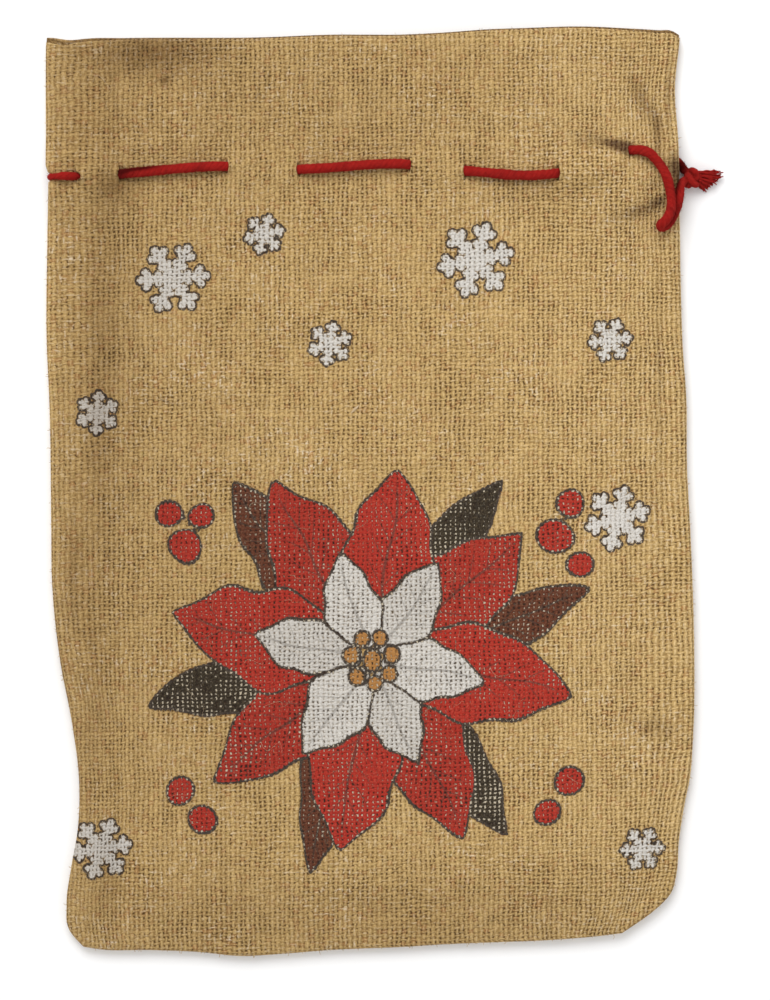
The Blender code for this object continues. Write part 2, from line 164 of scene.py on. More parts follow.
# %% Outline
LEFT_ROWS = (  # y, x, in millimetres, from the foot to the mouth
    (-250, -158), (-242, -165), (-227, -167), (-207, -164.5), (-187, -161), (-161, -160),
    (-127, -164), (-93, -170.5), (-50, -175), (-17, -175.5), (50, -176.5), (84, -178),
    (150, -177.6), (215, -178.5), (248.5, -178.4),
)
RIGHT_ROWS = (  # y, x
    (-242.5, 139), (-231, 155.5), (-221, 165.5), (-211, 168.5), (-192, 170), (-170, 173.5),
    (-158, 176), (-137, 177.7), (-71, 178.2), (-27, 176.6), (18, 174.4), (50, 174.2),
    (83, 172), (116, 171), (149, 170.5), (182, 169.6), (204, 168.8), (221, 167.8), (250.8, 170.5),
)
MOUTH_ROWS = (  # x, y
    (-178.4, 248.5), (-169, 246.3), (-158, 248.3), (-134, 248.9), (-57, 249.4), (-24, 250.7),
    (20, 250.9), (42, 252), (64, 253.7), (86, 254.5), (119, 255.3), (141, 254.3),
    (160, 253.2), (167.5, 252.6), (170.5, 250.8),
)
FOOT_ROWS = (  # x, y
    (-158, -250), (-149, -251.4), (-121, -251.8), (-94, -252.9), (-72, -255.1), (-50, -254),
    (-22, -251.8), (16, -250.2), (44, -248.5), (72, -247.4), (99, -246.3), (126, -244.1),
    (139, -242.5),
)
CORD_LEVEL = 174.0 * MM  # where the cord goes round the left edge
NOTCH_DEEP = 3.4 * MM  # right under the cord
NOTCH_WIDE = 1.3 * MM  # and round it
NOTCH_FLAT = 1.3 * MM
NOTCH_NEAR = 2.8 * MM
NOTCH_ABOVE = 7 * MM  # the edge springs back soon above the cord and slowly below it
NOTCH_BELOW = 32 * MM
NOTCH_FOOT = 13 * MM
NOTCH_REACH = 30 * MM


def notch(y):
    """How far the cord draws the left edge in."""
    over = y - CORD_LEVEL
    foot = np.where(over > 0, NOTCH_ABOVE, NOTCH_BELOW)
    return NOTCH_DEEP * hump(over, NOTCH_FLAT, NOTCH_NEAR) + NOTCH_WIDE * hump(over, NOTCH_FLAT, foot)


def left_line(y):
    """The x of the left edge by its table."""
    return smooth(LEFT_ROWS, y / MM) * MM


def left_edge(y):
    """The x of the left edge, drawn in by the cord."""
    return left_line(y) + notch(y)


def right_edge(y):
    """The x of the right edge."""
    return smooth(RIGHT_ROWS, y / MM) * MM


def mouth_edge(x):
    """The y of the mouth."""
    return smooth(MOUTH_ROWS, x / MM) * MM


def foot_edge(x):
    """The y of the foot."""
    return smooth(FOOT_ROWS, x / MM) * MM


def patch(u, v):
    """The plan of a panel, u from its left side to its right and v from its foot to its mouth.

    A Coons patch: the two pairs of opposite sides are joined by straight lines, the two results are
    added, and the four corners, which that counts twice, are taken off again.
    """
    left_foot, left_mouth, right_foot, right_mouth = (
        np.array(row[::-1]) * MM for row in (LEFT_ROWS[0], LEFT_ROWS[-1], RIGHT_ROWS[0], RIGHT_ROWS[-1])
    )
    u, v = u[..., None], v[..., None]
    left_y = left_foot[1] + v * (left_mouth[1] - left_foot[1])
    right_y = right_foot[1] + v * (right_mouth[1] - right_foot[1])
    foot_x = left_foot[0] + u * (right_foot[0] - left_foot[0])
    mouth_x = left_mouth[0] + u * (right_mouth[0] - left_mouth[0])
    across = (1 - u) * np.concatenate([left_line(left_y), left_y], -1)
    across = across + u * np.concatenate([right_edge(right_y), right_y], -1)
    along = (1 - v) * np.concatenate([foot_x, foot_edge(foot_x)], -1)
    along = along + v * np.concatenate([mouth_x, mouth_edge(mouth_x)], -1)
    corners = (1 - u) * ((1 - v) * left_foot + v * left_mouth)
    corners = corners + u * ((1 - v) * right_foot + v * right_mouth)
    plan = across + along - corners
    near = hump(u * (right_foot[0] - left_foot[0]), 0, NOTCH_REACH)
    plan[..., :1] += notch(plan[..., 1:]) * near
    return plan


middle = patch(np.array([0.5]), np.array([0.5]))[0]
print("middle of the plan in mm:", np.round(middle / MM, 1))

# %% [markdown]
# ## The cord's line
#
# A drawstring is a running stitch: it goes in and out of the cloth at a row of holes. Where it lies
# inside the sack, the face stands up a little over it, and where it lies under the back panel, the back
# stands up over it in a soft ridge. Both follow one number, which is 1 where the cord is outside and
# -1 where it is inside, and changes along half a cosine at each hole.

# %% The cord's line
CLOTH = 1.2 * MM
FOLD = 1.0 * MM  # radius of a turned edge, to the middle of the cloth
SEAM_GAP = 0.4 * MM
GROUND = CLOTH / 2
SEAM = 4 * FOLD + CLOTH + SEAM_GAP
CORD = 5.6 * MM
CLEAR = 0.4 * MM
LIE = CLOTH / 2 + CLEAR + CORD / 2  # from a cloth's middle to the middle of a cord that lies on it
UNDER = CORD / 2 + 0.1 * MM
DIVE = 15.0  # millimetres of cord in which it passes through the cloth
FRONT_HOLES = (-161.5, -138.0, -77.5, -40.0, 22.5, 51.5, 104.0, 142.3)
FRONT_LINE = (  # x, y
    (-176, 174.0), (-160, 174.2), (-139, 175.1), (-78, 179.2), (-41, 177.6), (23, 180.2), (51, 176.9),
    (104, 175.8), (122, 181), (139, 188.2), (150, 188.4),
)
BACK_HOLES = (-124.0, -92.0, -26.0, 6.0, 76.0, 108.0)
BACK_LINE = (  # x, y
    (-176, 174.0), (-150, 169.5), (-110, 167), (0, 167), (100, 168), (140, 176), (160, 182), (170, 184),
)
FRONT_SINK = 0.8 * MM
FRONT_HUMP = 1.6 * MM
RIDGE = UNDER + LIE - GROUND
PRESS_FLAT = 4 * MM
PRESS_FOOT = 15 * MM
RIDGE_FOOT = 30 * MM


def side_of(x, holes):
    """1 where the cord is outside the sack and -1 where it is inside, half a cosine at each hole."""
    passed = sum(np.clip((x / MM - hole) / DIVE + 0.5, 0, 1) for hole in holes)
    return np.cos(np.pi * passed)


def beside(x, y, line, foot):
    """1 by a cord's line and 0 from the distance foot."""
    return hump(y - smooth(line, x / MM) * MM, PRESS_FLAT, foot)


print("the cord is outside at the left edge:", side_of(-0.176, FRONT_HOLES) > 0)

# %% [markdown]
# ## How the two panels lie
#
# The back panel is flat on the ground but for its ridges. The face rises from the seams and lies
# about a centimetre over the back, with a long roll and trough inside the left seam, a groove beside
# the right one and a few broad swells. These are the same forms as the solids have. Finer unevenness
# is added on top: waves a few centimetres long, and puckers beside the seams.

# %% Heights of the panels
LOFT_ROWS = (  # y, how far the face stands off the seam's height
    (-256, 7.6), (-150, 9.2), (-20, 9.8), (90, 9.4), (170, 10.2), (215, 9.2), (256, 7.4),
)
SIDE_REACH = 84 * MM
FOOT_REACH = 70 * MM
FADE = 12 * MM  # the folds and the stitches fade out over this distance from a seam
SIDE_TURN = 7 * MM  # widths of the allowances
FOOT_TURN = 10 * MM
HEM = 15 * MM
TROUGH_IN = 27 * MM
TROUGH_WIDE = 9 * MM
TROUGH_ROWS = (  # y, depth
    (-250, 0.6), (-215, 2.3), (-150, 1.2), (-105, 2.6), (-60, 2.2), (0, 1.3), (60, 1.8),
    (120, 1.8), (175, 0.5), (215, 2.0), (250, 1.2),
)
ROLL_IN = 13 * MM
ROLL_WIDE = 7 * MM
ROLL = 1.3 * MM
GROOVE_IN = 12.5 * MM
GROOVE_WIDE = 3.6 * MM
GROOVE = 1.1 * MM
SWELLS = (  # x, y, half length, half width, turn in degrees, height
    (-124, 234, 30, 17, 0, -1.5),
    (-137, 140, 22, 12, 90, -1.0),
    (-85, 214, 42, 24, 0, 0.8),
    (33, -230, 92, 10, 0, -1.2),
    (-113, -240, 42, 8, 0, -0.9),
    (151, 214, 26, 6, 100, -1.1),
    (126, 193, 14, 5, -8, -1.2),
    (152, 152, 12, 5, 15, -1.0),
    (126, 172, 15, 7, 0, 0.9),
    (133, 88, 42, 11, 90, 0.9),
    (163, -131, 14, 5, -10, -0.9),
    (60, 232, 60, 5, 2, -0.7),
    (-20, 60, 70, 45, 20, -1.0),
    (95, -120, 40, 60, 0, 0.8),
    (-70, -150, 60, 40, -15, -0.9),
)


def back_height(x, y):
    """The height of the middle of the back panel: the ground, and a ridge where the cord is under it."""
    return GROUND + RIDGE * beside(x, y, BACK_LINE, RIDGE_FOOT) * (1 + side_of(x, BACK_HOLES)) / 2


def rise_from(distance, reach):
    """0 at an edge and 1 beyond reach: one less the square of what is left of the way."""
    return 1 - (1 - np.clip(distance / reach, 0, 1)) ** 2


def front_height(x, y):
    """The height of the middle of the face: the seam's height, the loft, and the folds added to it."""
    left, right, foot = x - left_edge(y), right_edge(y) - x, y - foot_edge(x)
    apart = rise_from(left, SIDE_REACH) * rise_from(right, SIDE_REACH) * rise_from(foot, FOOT_REACH)
    height = GROUND + SEAM + RIDGE * beside(x, y, BACK_LINE, RIDGE_FOOT) * (1 - apart)
    height = height + smooth(LOFT_ROWS, y / MM) * MM * apart
    side = side_of(x, FRONT_HOLES)
    give = np.where(side > 0, -FRONT_SINK, -FRONT_HUMP) * side
    give = give * ease(left / FADE) * ease(right / (2 * FADE))
    height = height + give * beside(x, y, FRONT_LINE, PRESS_FOOT)
    inside = ease((foot - FOOT_TURN) / FADE)
    trough = smooth(TROUGH_ROWS, y / MM) * MM
    roll = ROLL * (1 - hump(y - CORD_LEVEL, NOTCH_FLAT, 2 * NOTCH_FOOT))
    height = height - inside * trough * np.exp(-(((left - TROUGH_IN) / TROUGH_WIDE) ** 2))
    height = height + inside * roll * np.exp(-(((left - ROLL_IN) / ROLL_WIDE) ** 2))
    height = height - inside * GROOVE * np.exp(-(((right - GROOVE_IN) / GROOVE_WIDE) ** 2))
    inside = inside * ease((np.minimum(left, right) - SIDE_TURN) / FADE)
    return height + ovals(x / MM, y / MM, SWELLS) * MM * inside


print("height of the face in the middle:", round(float(front_height(0.0, 0.0)) / MM, 1), "mm")

# %% [markdown]
# ## The cord's route
#
# The cord starts at the knot, falls on the face in a slack loop, runs in and out of the face, goes
# round the left edge, runs in and out of the back and rises to the knot again. Its points are nearly
# those of the solid cord, on one smooth curve. A curve through each coordinate against the length so
# far keeps it round between them.

# %% The cord's route
LOOP_ROWS = (  # x, y, height over the face
    (152.9, 186.9, 4.4), (157.6, 182.4, 4.5), (161.6, 176.4, 4.5),
    (164.2, 169.6, 4.8), (165.4, 162.6, 6.6), (165.2, 156.2, 9.4), (163.4, 151.2, 10.8),
    (161.2, 148.6, 10.4), (159.8, 147.2, 8.4), (160.4, 146.2, 5.6), (162.8, 147.0, 4.3),
    (166.0, 150.8, 4.1), (168.4, 156.4, 4.1),
)
FALL_ROWS = (  # x, y, height over the ground
    (169.7, 160.8, 12.3), (170.3, 164.6, 12.3), (170.9, 168.2, 11.7), (171.9, 171.0, 9.8),
    (173.8, 172.6, 7.6),
)
RISE_ROWS = (  # x, y, height over the ground
    (163.8, 183.2, 2.9), (167.2, 184.0, 2.95), (170.1, 182.9, 3.1), (172.4, 180.3, 3.8),
    (174.4, 177.4, 4.5),
)
WRAP_TURNS = (18, 55, 86, 94, 125, 162)  # degrees round the left edge
NARROW = 0.62  # the cord's thickness round the left edge, as a share
STITCH_STEP = 1.5  # millimetres between the route's points along the stitches
ROUTE_STEP = 0.45 * MM  # and between the rings of the finished cord


def stitched(start, end, holes, line, height, outward):
    """Points along a row of holes: the cloth's height and LIE times the side on which the cord is."""
    xs = np.arange(start, end + STITCH_STEP / 2, STITCH_STEP)
    x, y = xs * MM, smooth(line, xs) * MM
    return np.column_stack([x, y, height(x, y) + outward * LIE * side_of(x, holes)])


def wrap():
    """Points round the left edge: a half circle about the middle of each of the two turned edges."""
    edge = float(left_edge(CORD_LEVEL))
    off = FOLD + CLOTH / 2 + CLEAR / 2 + NARROW * CORD / 2
    top = float(front_height(edge, CORD_LEVEL)) - FOLD
    low = float(back_height(edge, CORD_LEVEL)) + FOLD
    turn = np.radians(WRAP_TURNS)
    middle = np.where(turn < math.pi / 2, top, low)
    level = np.full(len(turn), CORD_LEVEL)
    return np.column_stack([edge + FOLD - off * np.sin(turn), level, middle + off * np.cos(turn)])


def over_face(rows):
    """Points given by their height over the face."""
    x, y, over = np.array(rows).T * MM
    return np.column_stack([x, y, front_height(x, y) + over])


def resample(points, step):
    """Points an even step apart on a smooth curve through the given ones."""
    run = run_along(points)
    at = np.linspace(0, run[-1], max(2, round(run[-1] / step)))
    return np.column_stack([smooth(np.column_stack([run, points[:, k]]), at) for k in range(3)])


front_run = stitched(-168.5, 148.0, FRONT_HOLES, FRONT_LINE, front_height, 1)
back_run = stitched(-168.5, 160.0, BACK_HOLES, BACK_LINE, back_height, -1)
fall, rise = np.array(FALL_ROWS) * MM, np.array(RISE_ROWS) * MM
cord_parts = [fall[::-1], over_face(LOOP_ROWS)[::-1], front_run[::-1], wrap(), back_run, rise]
cord_path = resample(np.vstack(cord_parts), ROUTE_STEP)
cord_length = float(run_along(cord_path)[-1])
print("cord:", len(cord_path), "rings,", round(cord_length / MM), "mm")

# %% [markdown]
# ## From numpy arrays to a mesh
#
# Every new surface below is a grid of points. One helper writes points and faces into a mesh in one
# go, and gives it a UV map and any number of named attributes that its material reads.

# %% Mesh helpers


def grid_faces(rows, columns, closed=False):
    """Corner numbers of the quads of a grid. closed joins the last column to the first."""
    ids = np.arange(rows * columns).reshape(rows, columns)
    if closed:
        ids = np.concatenate([ids, ids[:, :1]], axis=1)
    return np.stack([ids[:-1, :-1], ids[:-1, 1:], ids[1:, 1:], ids[1:, :-1]], -1).reshape(-1, 4)


def make_mesh(name, points, faces, uv=None, vectors=None, numbers=None, fans=()):
    """An object at the origin from points, quads and optional n-sided faces."""
    mesh = bpy.data.meshes.new(name)
    mesh.from_pydata(points.tolist(), [], faces.tolist() + [list(fan) for fan in fans])
    if uv is not None:
        corner = np.empty(len(mesh.loops), np.int32)
        mesh.loops.foreach_get("vertex_index", corner)
        layer = mesh.uv_layers.new(name="cloth")
        layer.data.foreach_set("uv", uv[corner].astype(np.float32).ravel())
    for key, value in (vectors or {}).items():
        field = mesh.attributes.new(key, "FLOAT_VECTOR", "POINT")
        field.data.foreach_set("vector", value.astype(np.float32).ravel())
    for key, value in (numbers or {}).items():
        field = mesh.attributes.new(key, "FLOAT", "POINT")
        field.data.foreach_set("value", value.astype(np.float32).ravel())
    mesh.shade_smooth()
    mesh.update()
    made = bpy.data.objects.new(name, mesh)
    bpy.context.scene.collection.objects.link(made)
    return made


def triangles(obj):
    """The triangles of an object with its modifiers."""
    ready = obj.evaluated_get(bpy.context.evaluated_depsgraph_get()).to_mesh()
    return sum(len(face.vertices) - 2 for face in ready.polygons)


print("faces of a 3 by 4 grid:", len(grid_faces(3, 4)))

# %% [markdown]
# ## Lips where the cord goes through
#
# Where a cord goes through coarse cloth it pushes the yarns apart. On one side of the hole the cloth
# passes under the cord, and on the other it passes over it. On a grid that is a slit across the cord:
# the points along the slit are doubled, the left copies take the height of one lip and the right
# copies that of the other. From above the lips hide the hole, as they do on the real sack.

# %% Lips
LIP = 3.5 * MM  # how far a lip stands from the cloth's level: half a cord and half a cloth
SLIT = 10.5 * MM  # length of the slit
SLIT_BOW = 0.4 * MM  # the slit is bowed, so that the cord seems to end in a round tip


def slit_bow(dx, dy, toward):
    """How far the cloth beside a hole is led along x: a parabola across the cord, faded out around."""
    bow = np.clip(1 - 2 * (dy / (CORD / 2)) ** 2, -1, 1) * SLIT_BOW
    return toward * bow * hump(dx, 0, DIVE / 2 * MM) * hump(dy, CORD * 0.6, SLIT)


def lip_offset(dx, dy, right_side, outside_left, outward):
    """The rise of the cloth beside a hole.

    On the side where the cord is outside, the cloth goes under it, and on the other side over it.
    It follows the cord's own dive along x, and a squared cosine across it.
    """
    toward = np.clip(np.abs(dx) / (DIVE / 2 * MM), 0, 1)
    along = 1 - np.sin(np.pi / 2 * toward) ** 0.9
    across = np.cos(np.clip(dy / SLIT, -0.5, 0.5) * np.pi) ** 2
    under = right_side != outside_left
    return np.where(under, -1, 1) * outward * LIP * along * across


def lines(start, end, marks, reach, fine, coarse):
    """Places from start to end, coarsely apart but fine within reach of each mark, marks included."""
    stops = sorted({start, end, *(m + k * reach for m in marks for k in (-1, 0, 1))})
    stops = [s for s in stops if start <= s <= end]
    found = [start]
    for a, b in zip(stops, stops[1:]):
        near = any(abs((a + b) / 2 - m) < reach for m in marks)
        parts = max(1, math.ceil((b - a) / (fine if near else coarse) - 0.01))
        found += [a + (b - a) * k / parts for k in range(1, parts + 1)]
    return np.array(found)


print("lines:", lines(0, 10, (5,), 2, 1, 2))

# %% [markdown]
# ## A panel of cloth
#
# A panel is a grid over the plan, with its rim continued by rings: a half turn, and a return on the
# hidden side to the end of the allowance or the hem. Its UV map is the flat cloth in metres, so that
# the yarns of the weave keep their size and run on round the turned edges. Solidify gives the sheet
# the thickness of burlap.

# %% Panels
COARSE = 2.75  # millimetres between the grid's lines
FINE = 1.1  # and near the holes
HOLE_REACH = 7.5
EDGE_MARK = 162.5  # the columns are fine round this place too, for the right seam's ridge
SEAM_RIDGE_IN = 5.5 * MM
SEAM_RIDGE_WIDE = 2.1 * MM
SEAM_RIDGE_ROWS = (  # y, height in millimetres
    (-120, 0.0), (-60, 0.35), (20, 0.5), (110, 0.9), (230, 1.2), (256, 0.7),
)
LEVEL_ENDS = (-250.0, 248.5)
CORD_BAND = (160.0, 194.0)  # the levels between which the rows are fine
TURN_STEPS = 5
RETURN_STEPS = 2
RIPPLE = 0.16 * MM
LONG_WAVE = 34 * MM
SHORT_WAVE = 13 * MM
SHORT_SHARE = 0.6
PUCKER = 0.3 * MM
PUCKER_LENGTH = 7 * MM
PUCKER_REACH = 9 * MM
CALM_FOOT = 12 * MM  # the waves and puckers are back at this distance from the cord's line
HEM_STEP = 0.35 * MM  # the hem shows as a faint step
SEAM_FOLLOW = 35 * MM  # the yarns follow the seam within this distance
YARN_LEFT = -172 * MM  # the flat cloth's own edges
YARN_RIGHT = 173 * MM
YARN_SLIP = 6 * MM  # the most that the yarns are led aside by a seam
RIM_OUT = 2.2 * MM  # how far the back's mouth shows past the face's
CORNER_OUT = 1.8 * MM  # and how much further at the left corner
CORNER_AT = -171 * MM
CORNER_WIDE = 8 * MM
MOUTH_FROM = 0.9  # the share of a panel's length from which it is led out, and over which
MOUTH_OVER = 0.1


def flat_place(x, y):
    """Where a point of the laid cloth was on the flat cloth: yarns near a seam run along it."""
    left, right = x - left_line(y), right_edge(y) - x
    slip_left = np.clip(YARN_LEFT - left_line(y), -YARN_SLIP, YARN_SLIP)
    slip_right = np.clip(YARN_RIGHT - right_edge(y), -YARN_SLIP, YARN_SLIP)
    u = x + slip_left * (1 - ease(left / SEAM_FOLLOW)) + slip_right * (1 - ease(right / SEAM_FOLLOW))
    return np.stack([u, y], -1)


def uneven(x, y, seed, line):
    """Small waves of the cloth, puckers beside its seams and the right seam's ridge.

    The waves and puckers fade out where the cord touches the cloth.
    """
    left, right, foot = x - left_edge(y), right_edge(y) - x, y - foot_edge(x)
    seam = np.minimum(np.minimum(left, right), foot)
    waves = ripples(x, y, LONG_WAVE, seed) + SHORT_SHARE * ripples(x, y, SHORT_WAVE, seed + 1)
    near = np.exp(-((seam - SIDE_TURN) / PUCKER_REACH) ** 2)
    pucker = ripples(x, y, PUCKER_LENGTH, seed + 2) * near
    calm = 1 - beside(x, y, line, CALM_FOOT)
    doubled = HEM_STEP * ease((y - mouth_edge(x) + HEM) / (2.5 * MM)) * ease(seam / (9 * MM))
    ridge = smooth(SEAM_RIDGE_ROWS, y / MM) * MM
    ridge = ridge * np.exp(-(((right - SEAM_RIDGE_IN) / SEAM_RIDGE_WIDE) ** 2))
    small = RIPPLE * waves * ease(seam / (14 * MM)) + PUCKER * pucker * ease(seam / (3 * MM))
    return small * calm + doubled + ridge


def level_mouth(x):
    """The face's mouth is where its table says."""
    return 0 * x


def longer_mouth(x):
    """The back's mouth shows past the face's, most of all at the left corner."""
    return RIM_OUT + CORNER_OUT * np.exp(-(((x - CORNER_AT) / CORNER_WIDE) ** 2))


def panel_plan(u, v, mouth_out):
    """The plan of a panel whose mouth is led past its table."""
    plan = patch(u, v)
    plan[..., 1] += mouth_out(plan[..., 0]) * ease((v - MOUTH_FROM) / MOUTH_OVER)
    return plan


def panel(height, outward, holes, line, seed, mouth_out):
    """A panel of the sack: the grid, its slits, its turned edges and its returns."""
    left, right = float(left_line(CORD_LEVEL)) / MM, float(right_edge(CORD_LEVEL)) / MM
    columns = lines(left, right, (*holes, EDGE_MARK), HOLE_REACH, FINE, COARSE)
    middle = sum(CORD_BAND) / 2
    levels = lines(*LEVEL_ENDS, (middle,), CORD_BAND[1] - middle, FINE, COARSE)
    u = (columns - left) / (right - left)
    v = (levels - LEVEL_ENDS[0]) / (LEVEL_ENDS[1] - LEVEL_ENDS[0])
    grid_u, grid_v = np.meshgrid(u, v)
    plan = panel_plan(grid_u, grid_v, mouth_out)
    x, y = plan[..., 0], plan[..., 1]
    level = height(x, y) + uneven(x, y, seed, line)
    ids = np.arange(x.size).reshape(x.shape)
    right_ids = ids.copy()
    extra = []
    for number, hole in enumerate(holes):
        column = int(np.argmin(np.abs(columns - hole)))
        dx = x - x[:, column : column + 1]
        dy = y - smooth(line, hole) * MM
        outside_left = number % 2 == 0
        beyond = np.arange(len(columns)) > column
        x += slit_bow(dx, dy, 1 if outside_left else -1)
        offset = lip_offset(dx, dy, beyond[None, :], outside_left, outward)
        slit = np.flatnonzero(np.abs(dy[:, column]) < SLIT / 2)
        rise = lip_offset(dx[slit, column], dy[slit, column], True, outside_left, outward)
        right_ids[slit, column] = x.size + len(extra) + np.arange(len(slit))
        points = np.column_stack([x[slit, column], y[slit, column], level[slit, column] + rise])
        extra += points.tolist()
        level = level + offset
    faces = np.stack([right_ids[:-1, :-1], ids[:-1, 1:], ids[1:, 1:], right_ids[1:, :-1]], -1)
    points = np.vstack([np.column_stack([x.ravel(), y.ravel(), level.ravel()]), np.array(extra)])
    points[:, 2] = np.maximum(points[:, 2], GROUND)

    rim = np.concatenate([ids[0, :-1], ids[:-1, -1], ids[-1, :0:-1], ids[:0:-1, 0]])
    width, length = (right - left) * MM, (LEVEL_ENDS[1] - LEVEL_ENDS[0]) * MM
    rim_u, rim_v, edge = grid_u.ravel()[rim], grid_v.ravel()[rim], points[rim]
    rings, flats = [], []
    flat_edge = flat_place(edge[:, 0], edge[:, 1])
    first_u = np.clip(rim_u, SIDE_TURN / width, 1 - SIDE_TURN / width)
    first_v = np.clip(rim_v, FOOT_TURN / length, 1 - HEM / length)
    turned = panel_plan(first_u, first_v, mouth_out)
    away = turned - edge[:, :2]
    reach = np.linalg.norm(away, axis=1)[:, None]
    heading = away / reach
    for turn in np.linspace(0, math.pi, TURN_STEPS + 1):
        flat = edge[:, :2] + heading * FOLD * (1 - math.sin(turn))
        rings.append(np.column_stack([flat, edge[:, 2] - outward * FOLD * (1 - math.cos(turn))]))
        flats.append(flat_edge - heading * FOLD * turn)
    for part in np.linspace(0, 1, RETURN_STEPS + 1)[1:]:
        flat = edge[:, :2] + heading * FOLD + (turned - edge[:, :2] - heading * FOLD) * part
        rings.append(np.column_stack([flat, height(flat[:, 0], flat[:, 1]) - outward * 2 * FOLD]))
        flats.append(flat_edge - heading * (FOLD * math.pi + reach * part))
    points[rim] = rings[0]
    loops = [rim] + [len(points) + len(rim) * k + np.arange(len(rim)) for k in range(len(rings) - 1)]
    points = np.vstack([points, *rings[1:]])
    uv = flat_place(points[:, 0], points[:, 1])
    for loop, flat in zip(loops[1:], flats[1:]):
        uv[loop] = flat
    faces = [faces.reshape(-1, 4)]
    for last, new in zip(loops, loops[1:]):
        faces.append(np.stack([last, new, np.roll(new, -1), np.roll(last, -1)], -1))
    return points, np.vstack(faces), uv


def thicken(obj):
    """Gives a sheet the thickness of burlap."""
    thick = obj.modifiers.new("cloth", "SOLIDIFY")
    thick.thickness = CLOTH
    thick.offset = 0
    return obj


face_points, face_quads, face_uv = panel(front_height, 1, FRONT_HOLES, FRONT_LINE, 11, level_mouth)
back_points, back_quads, back_uv = panel(back_height, -1, BACK_HOLES, BACK_LINE, 23, longer_mouth)
print("face:", len(face_points), "points, back:", len(back_points), "points")

# %% [markdown]
# ## The print
#
# The face carries a printed winter flower: leaves, red bracts, white petals, gold beads and berries,
# each with a dark outline. Every petal is a leaf shape between two distances from its flower's
# middle. For each layer of shapes that don't touch each other, three numbers are kept at every point
# of the cloth: the distance to the nearest outline, negative inside, the signed distance to the
# middle rib, and the place along it. The material draws fill, outline and veins from these numbers,
# so the lines stay sharp between the points of the mesh.

# %% Shapes of the print
FLOWER_AT = np.array([1.0, -92.0])  # millimetres
LAYERS = {  # name: rows of angle in degrees, start, end, half width, bend, from the flower's middle
    "leaf_brown": ((14, 30, 125, 17, 9), (131, 30, 124, 18, -8), (250, 30, 121, 17, 8)),
    "leaf_black": ((58, 30, 121, 16, -8), (188, 30, 124, 17, 8), (312, 30, 122, 16, -9)),
    "red_low": ((36, 10, 109, 25, 7), (122, 10, 112, 26, -6), (214, 10, 108, 25, 7), (301, 10, 110, 25, -6)),
    "red_high": ((-6, 12, 112, 27, -6), (79, 12, 106, 26, 6), (169, 12, 112, 27, -5), (258, 12, 105, 26, 6)),
    "white_low": ((52, 6, 64, 15, 3), (170, 6, 66, 15, -3), (292, 6, 63, 15, 3)),
    "white_high": ((110, 6, 62, 16, -3), (232, 6, 65, 16, 3), (352, 6, 63, 16, -3)),
}
BERRIES = (  # x, y, radius, from the flower's middle
    (-103, 62, 8.5), (-93, 79, 7.5), (-111, 81, 7), (101, 68, 8.5), (113, 52, 7), (108, 86, 7),
    (-104, -72, 8), (-92, -88, 7), (108, -66, 8), (97, -84, 7),
)
BEAD_COUNT = 7
BEAD_RING = 12.5
BEAD_START = 0.3
BEAD_RADIUS = 4.4
MIDDLE_BEAD = 5.2
BEAD_TURNS = [k * math.tau / BEAD_COUNT + BEAD_START for k in range(BEAD_COUNT)]
BEADS = [(BEAD_RING * math.cos(turn), BEAD_RING * math.sin(turn), BEAD_RADIUS) for turn in BEAD_TURNS]
BEADS.append((0, 0, MIDDLE_BEAD))  # the others stand in a ring round this one
HAND = 1.3  # millimetres by which a hand-drawn line strays
WIDEST = 0.8  # a petal's width is a sine of the place along it, raised to this power
POINTED = 0.85  # and the sine is raised to this one
WAVY = 0.07  # its edge waves by this share of its width
WAVES = 19  # how far those waves run along it, in radians
ASLANT = 0.9  # the edge slants to the rib, so it is nearer than straight across
FAR = 60.0  # the distance kept where no shape is near


def keep_nearest(best, distance, *others):
    """Puts a shape's columns, the distance first, where it is nearer than the best so far."""
    better = distance < best[..., 0]
    best[better] = np.stack([distance, *others], -1)[better]


def petals(x, y, rows):
    """Distance to the nearest petal's outline, distance from its rib, and place along it, as columns.

    In a petal's own frame a runs along the rib and b across. The half width is the given one times a
    power of the sine of pi times the place to the power WIDEST, and waves a little. Past the ends the
    distance is the straight one.
    """
    best = np.full(x.shape + (3,), FAR)
    for angle, start, end, wide, bend in rows:
        a, b = rotated(x, y, angle)
        t = (a - start) / (end - start)
        inside = np.clip(t, 0, 1)
        b = b - bend * inside**2
        half = wide * np.sin(np.pi * inside**WIDEST) ** POINTED * (1 + WAVY * np.sin(inside * WAVES))
        past = np.maximum(np.maximum(t - 1, -t), 0) * (end - start)
        keep_nearest(best, np.where(past > 0, np.hypot(b, past), (np.abs(b) - half) * ASLANT), b, t)
    return best


def discs(x, y, rows):
    """Distance to the nearest disc's outline, and the place within it, as columns."""
    best = np.full(x.shape + (3,), FAR)
    for mid_x, mid_y, radius in rows:
        dx, dy = x - mid_x, y - mid_y
        keep_nearest(best, np.hypot(dx, dy) - radius, dx / radius, dy / radius)
    return best


def print_layers(points):
    """The numbers of every layer at each point of the face."""
    x, y = points[:, 0] / MM - FLOWER_AT[0], points[:, 1] / MM - FLOWER_AT[1]
    x, y = x + HAND * ripples(x, y, 45, 5), y + HAND * ripples(x, y, 45, 6)
    found = {name: petals(x, y, rows) for name, rows in LAYERS.items()}
    found["berries"] = discs(x, y, BERRIES)
    found["beads"] = discs(x, y, BEADS)
    return found


print("layers:", ", ".join(LAYERS))

# %% [markdown]
# ## Snowflakes
#
# Plain six-armed snowflakes are scattered round the flower. Each point of the cloth keeps its place
# in the frame of the nearest one, in radii, and that radius, or zero where it is far from any. One
# formula in the material then draws them all.

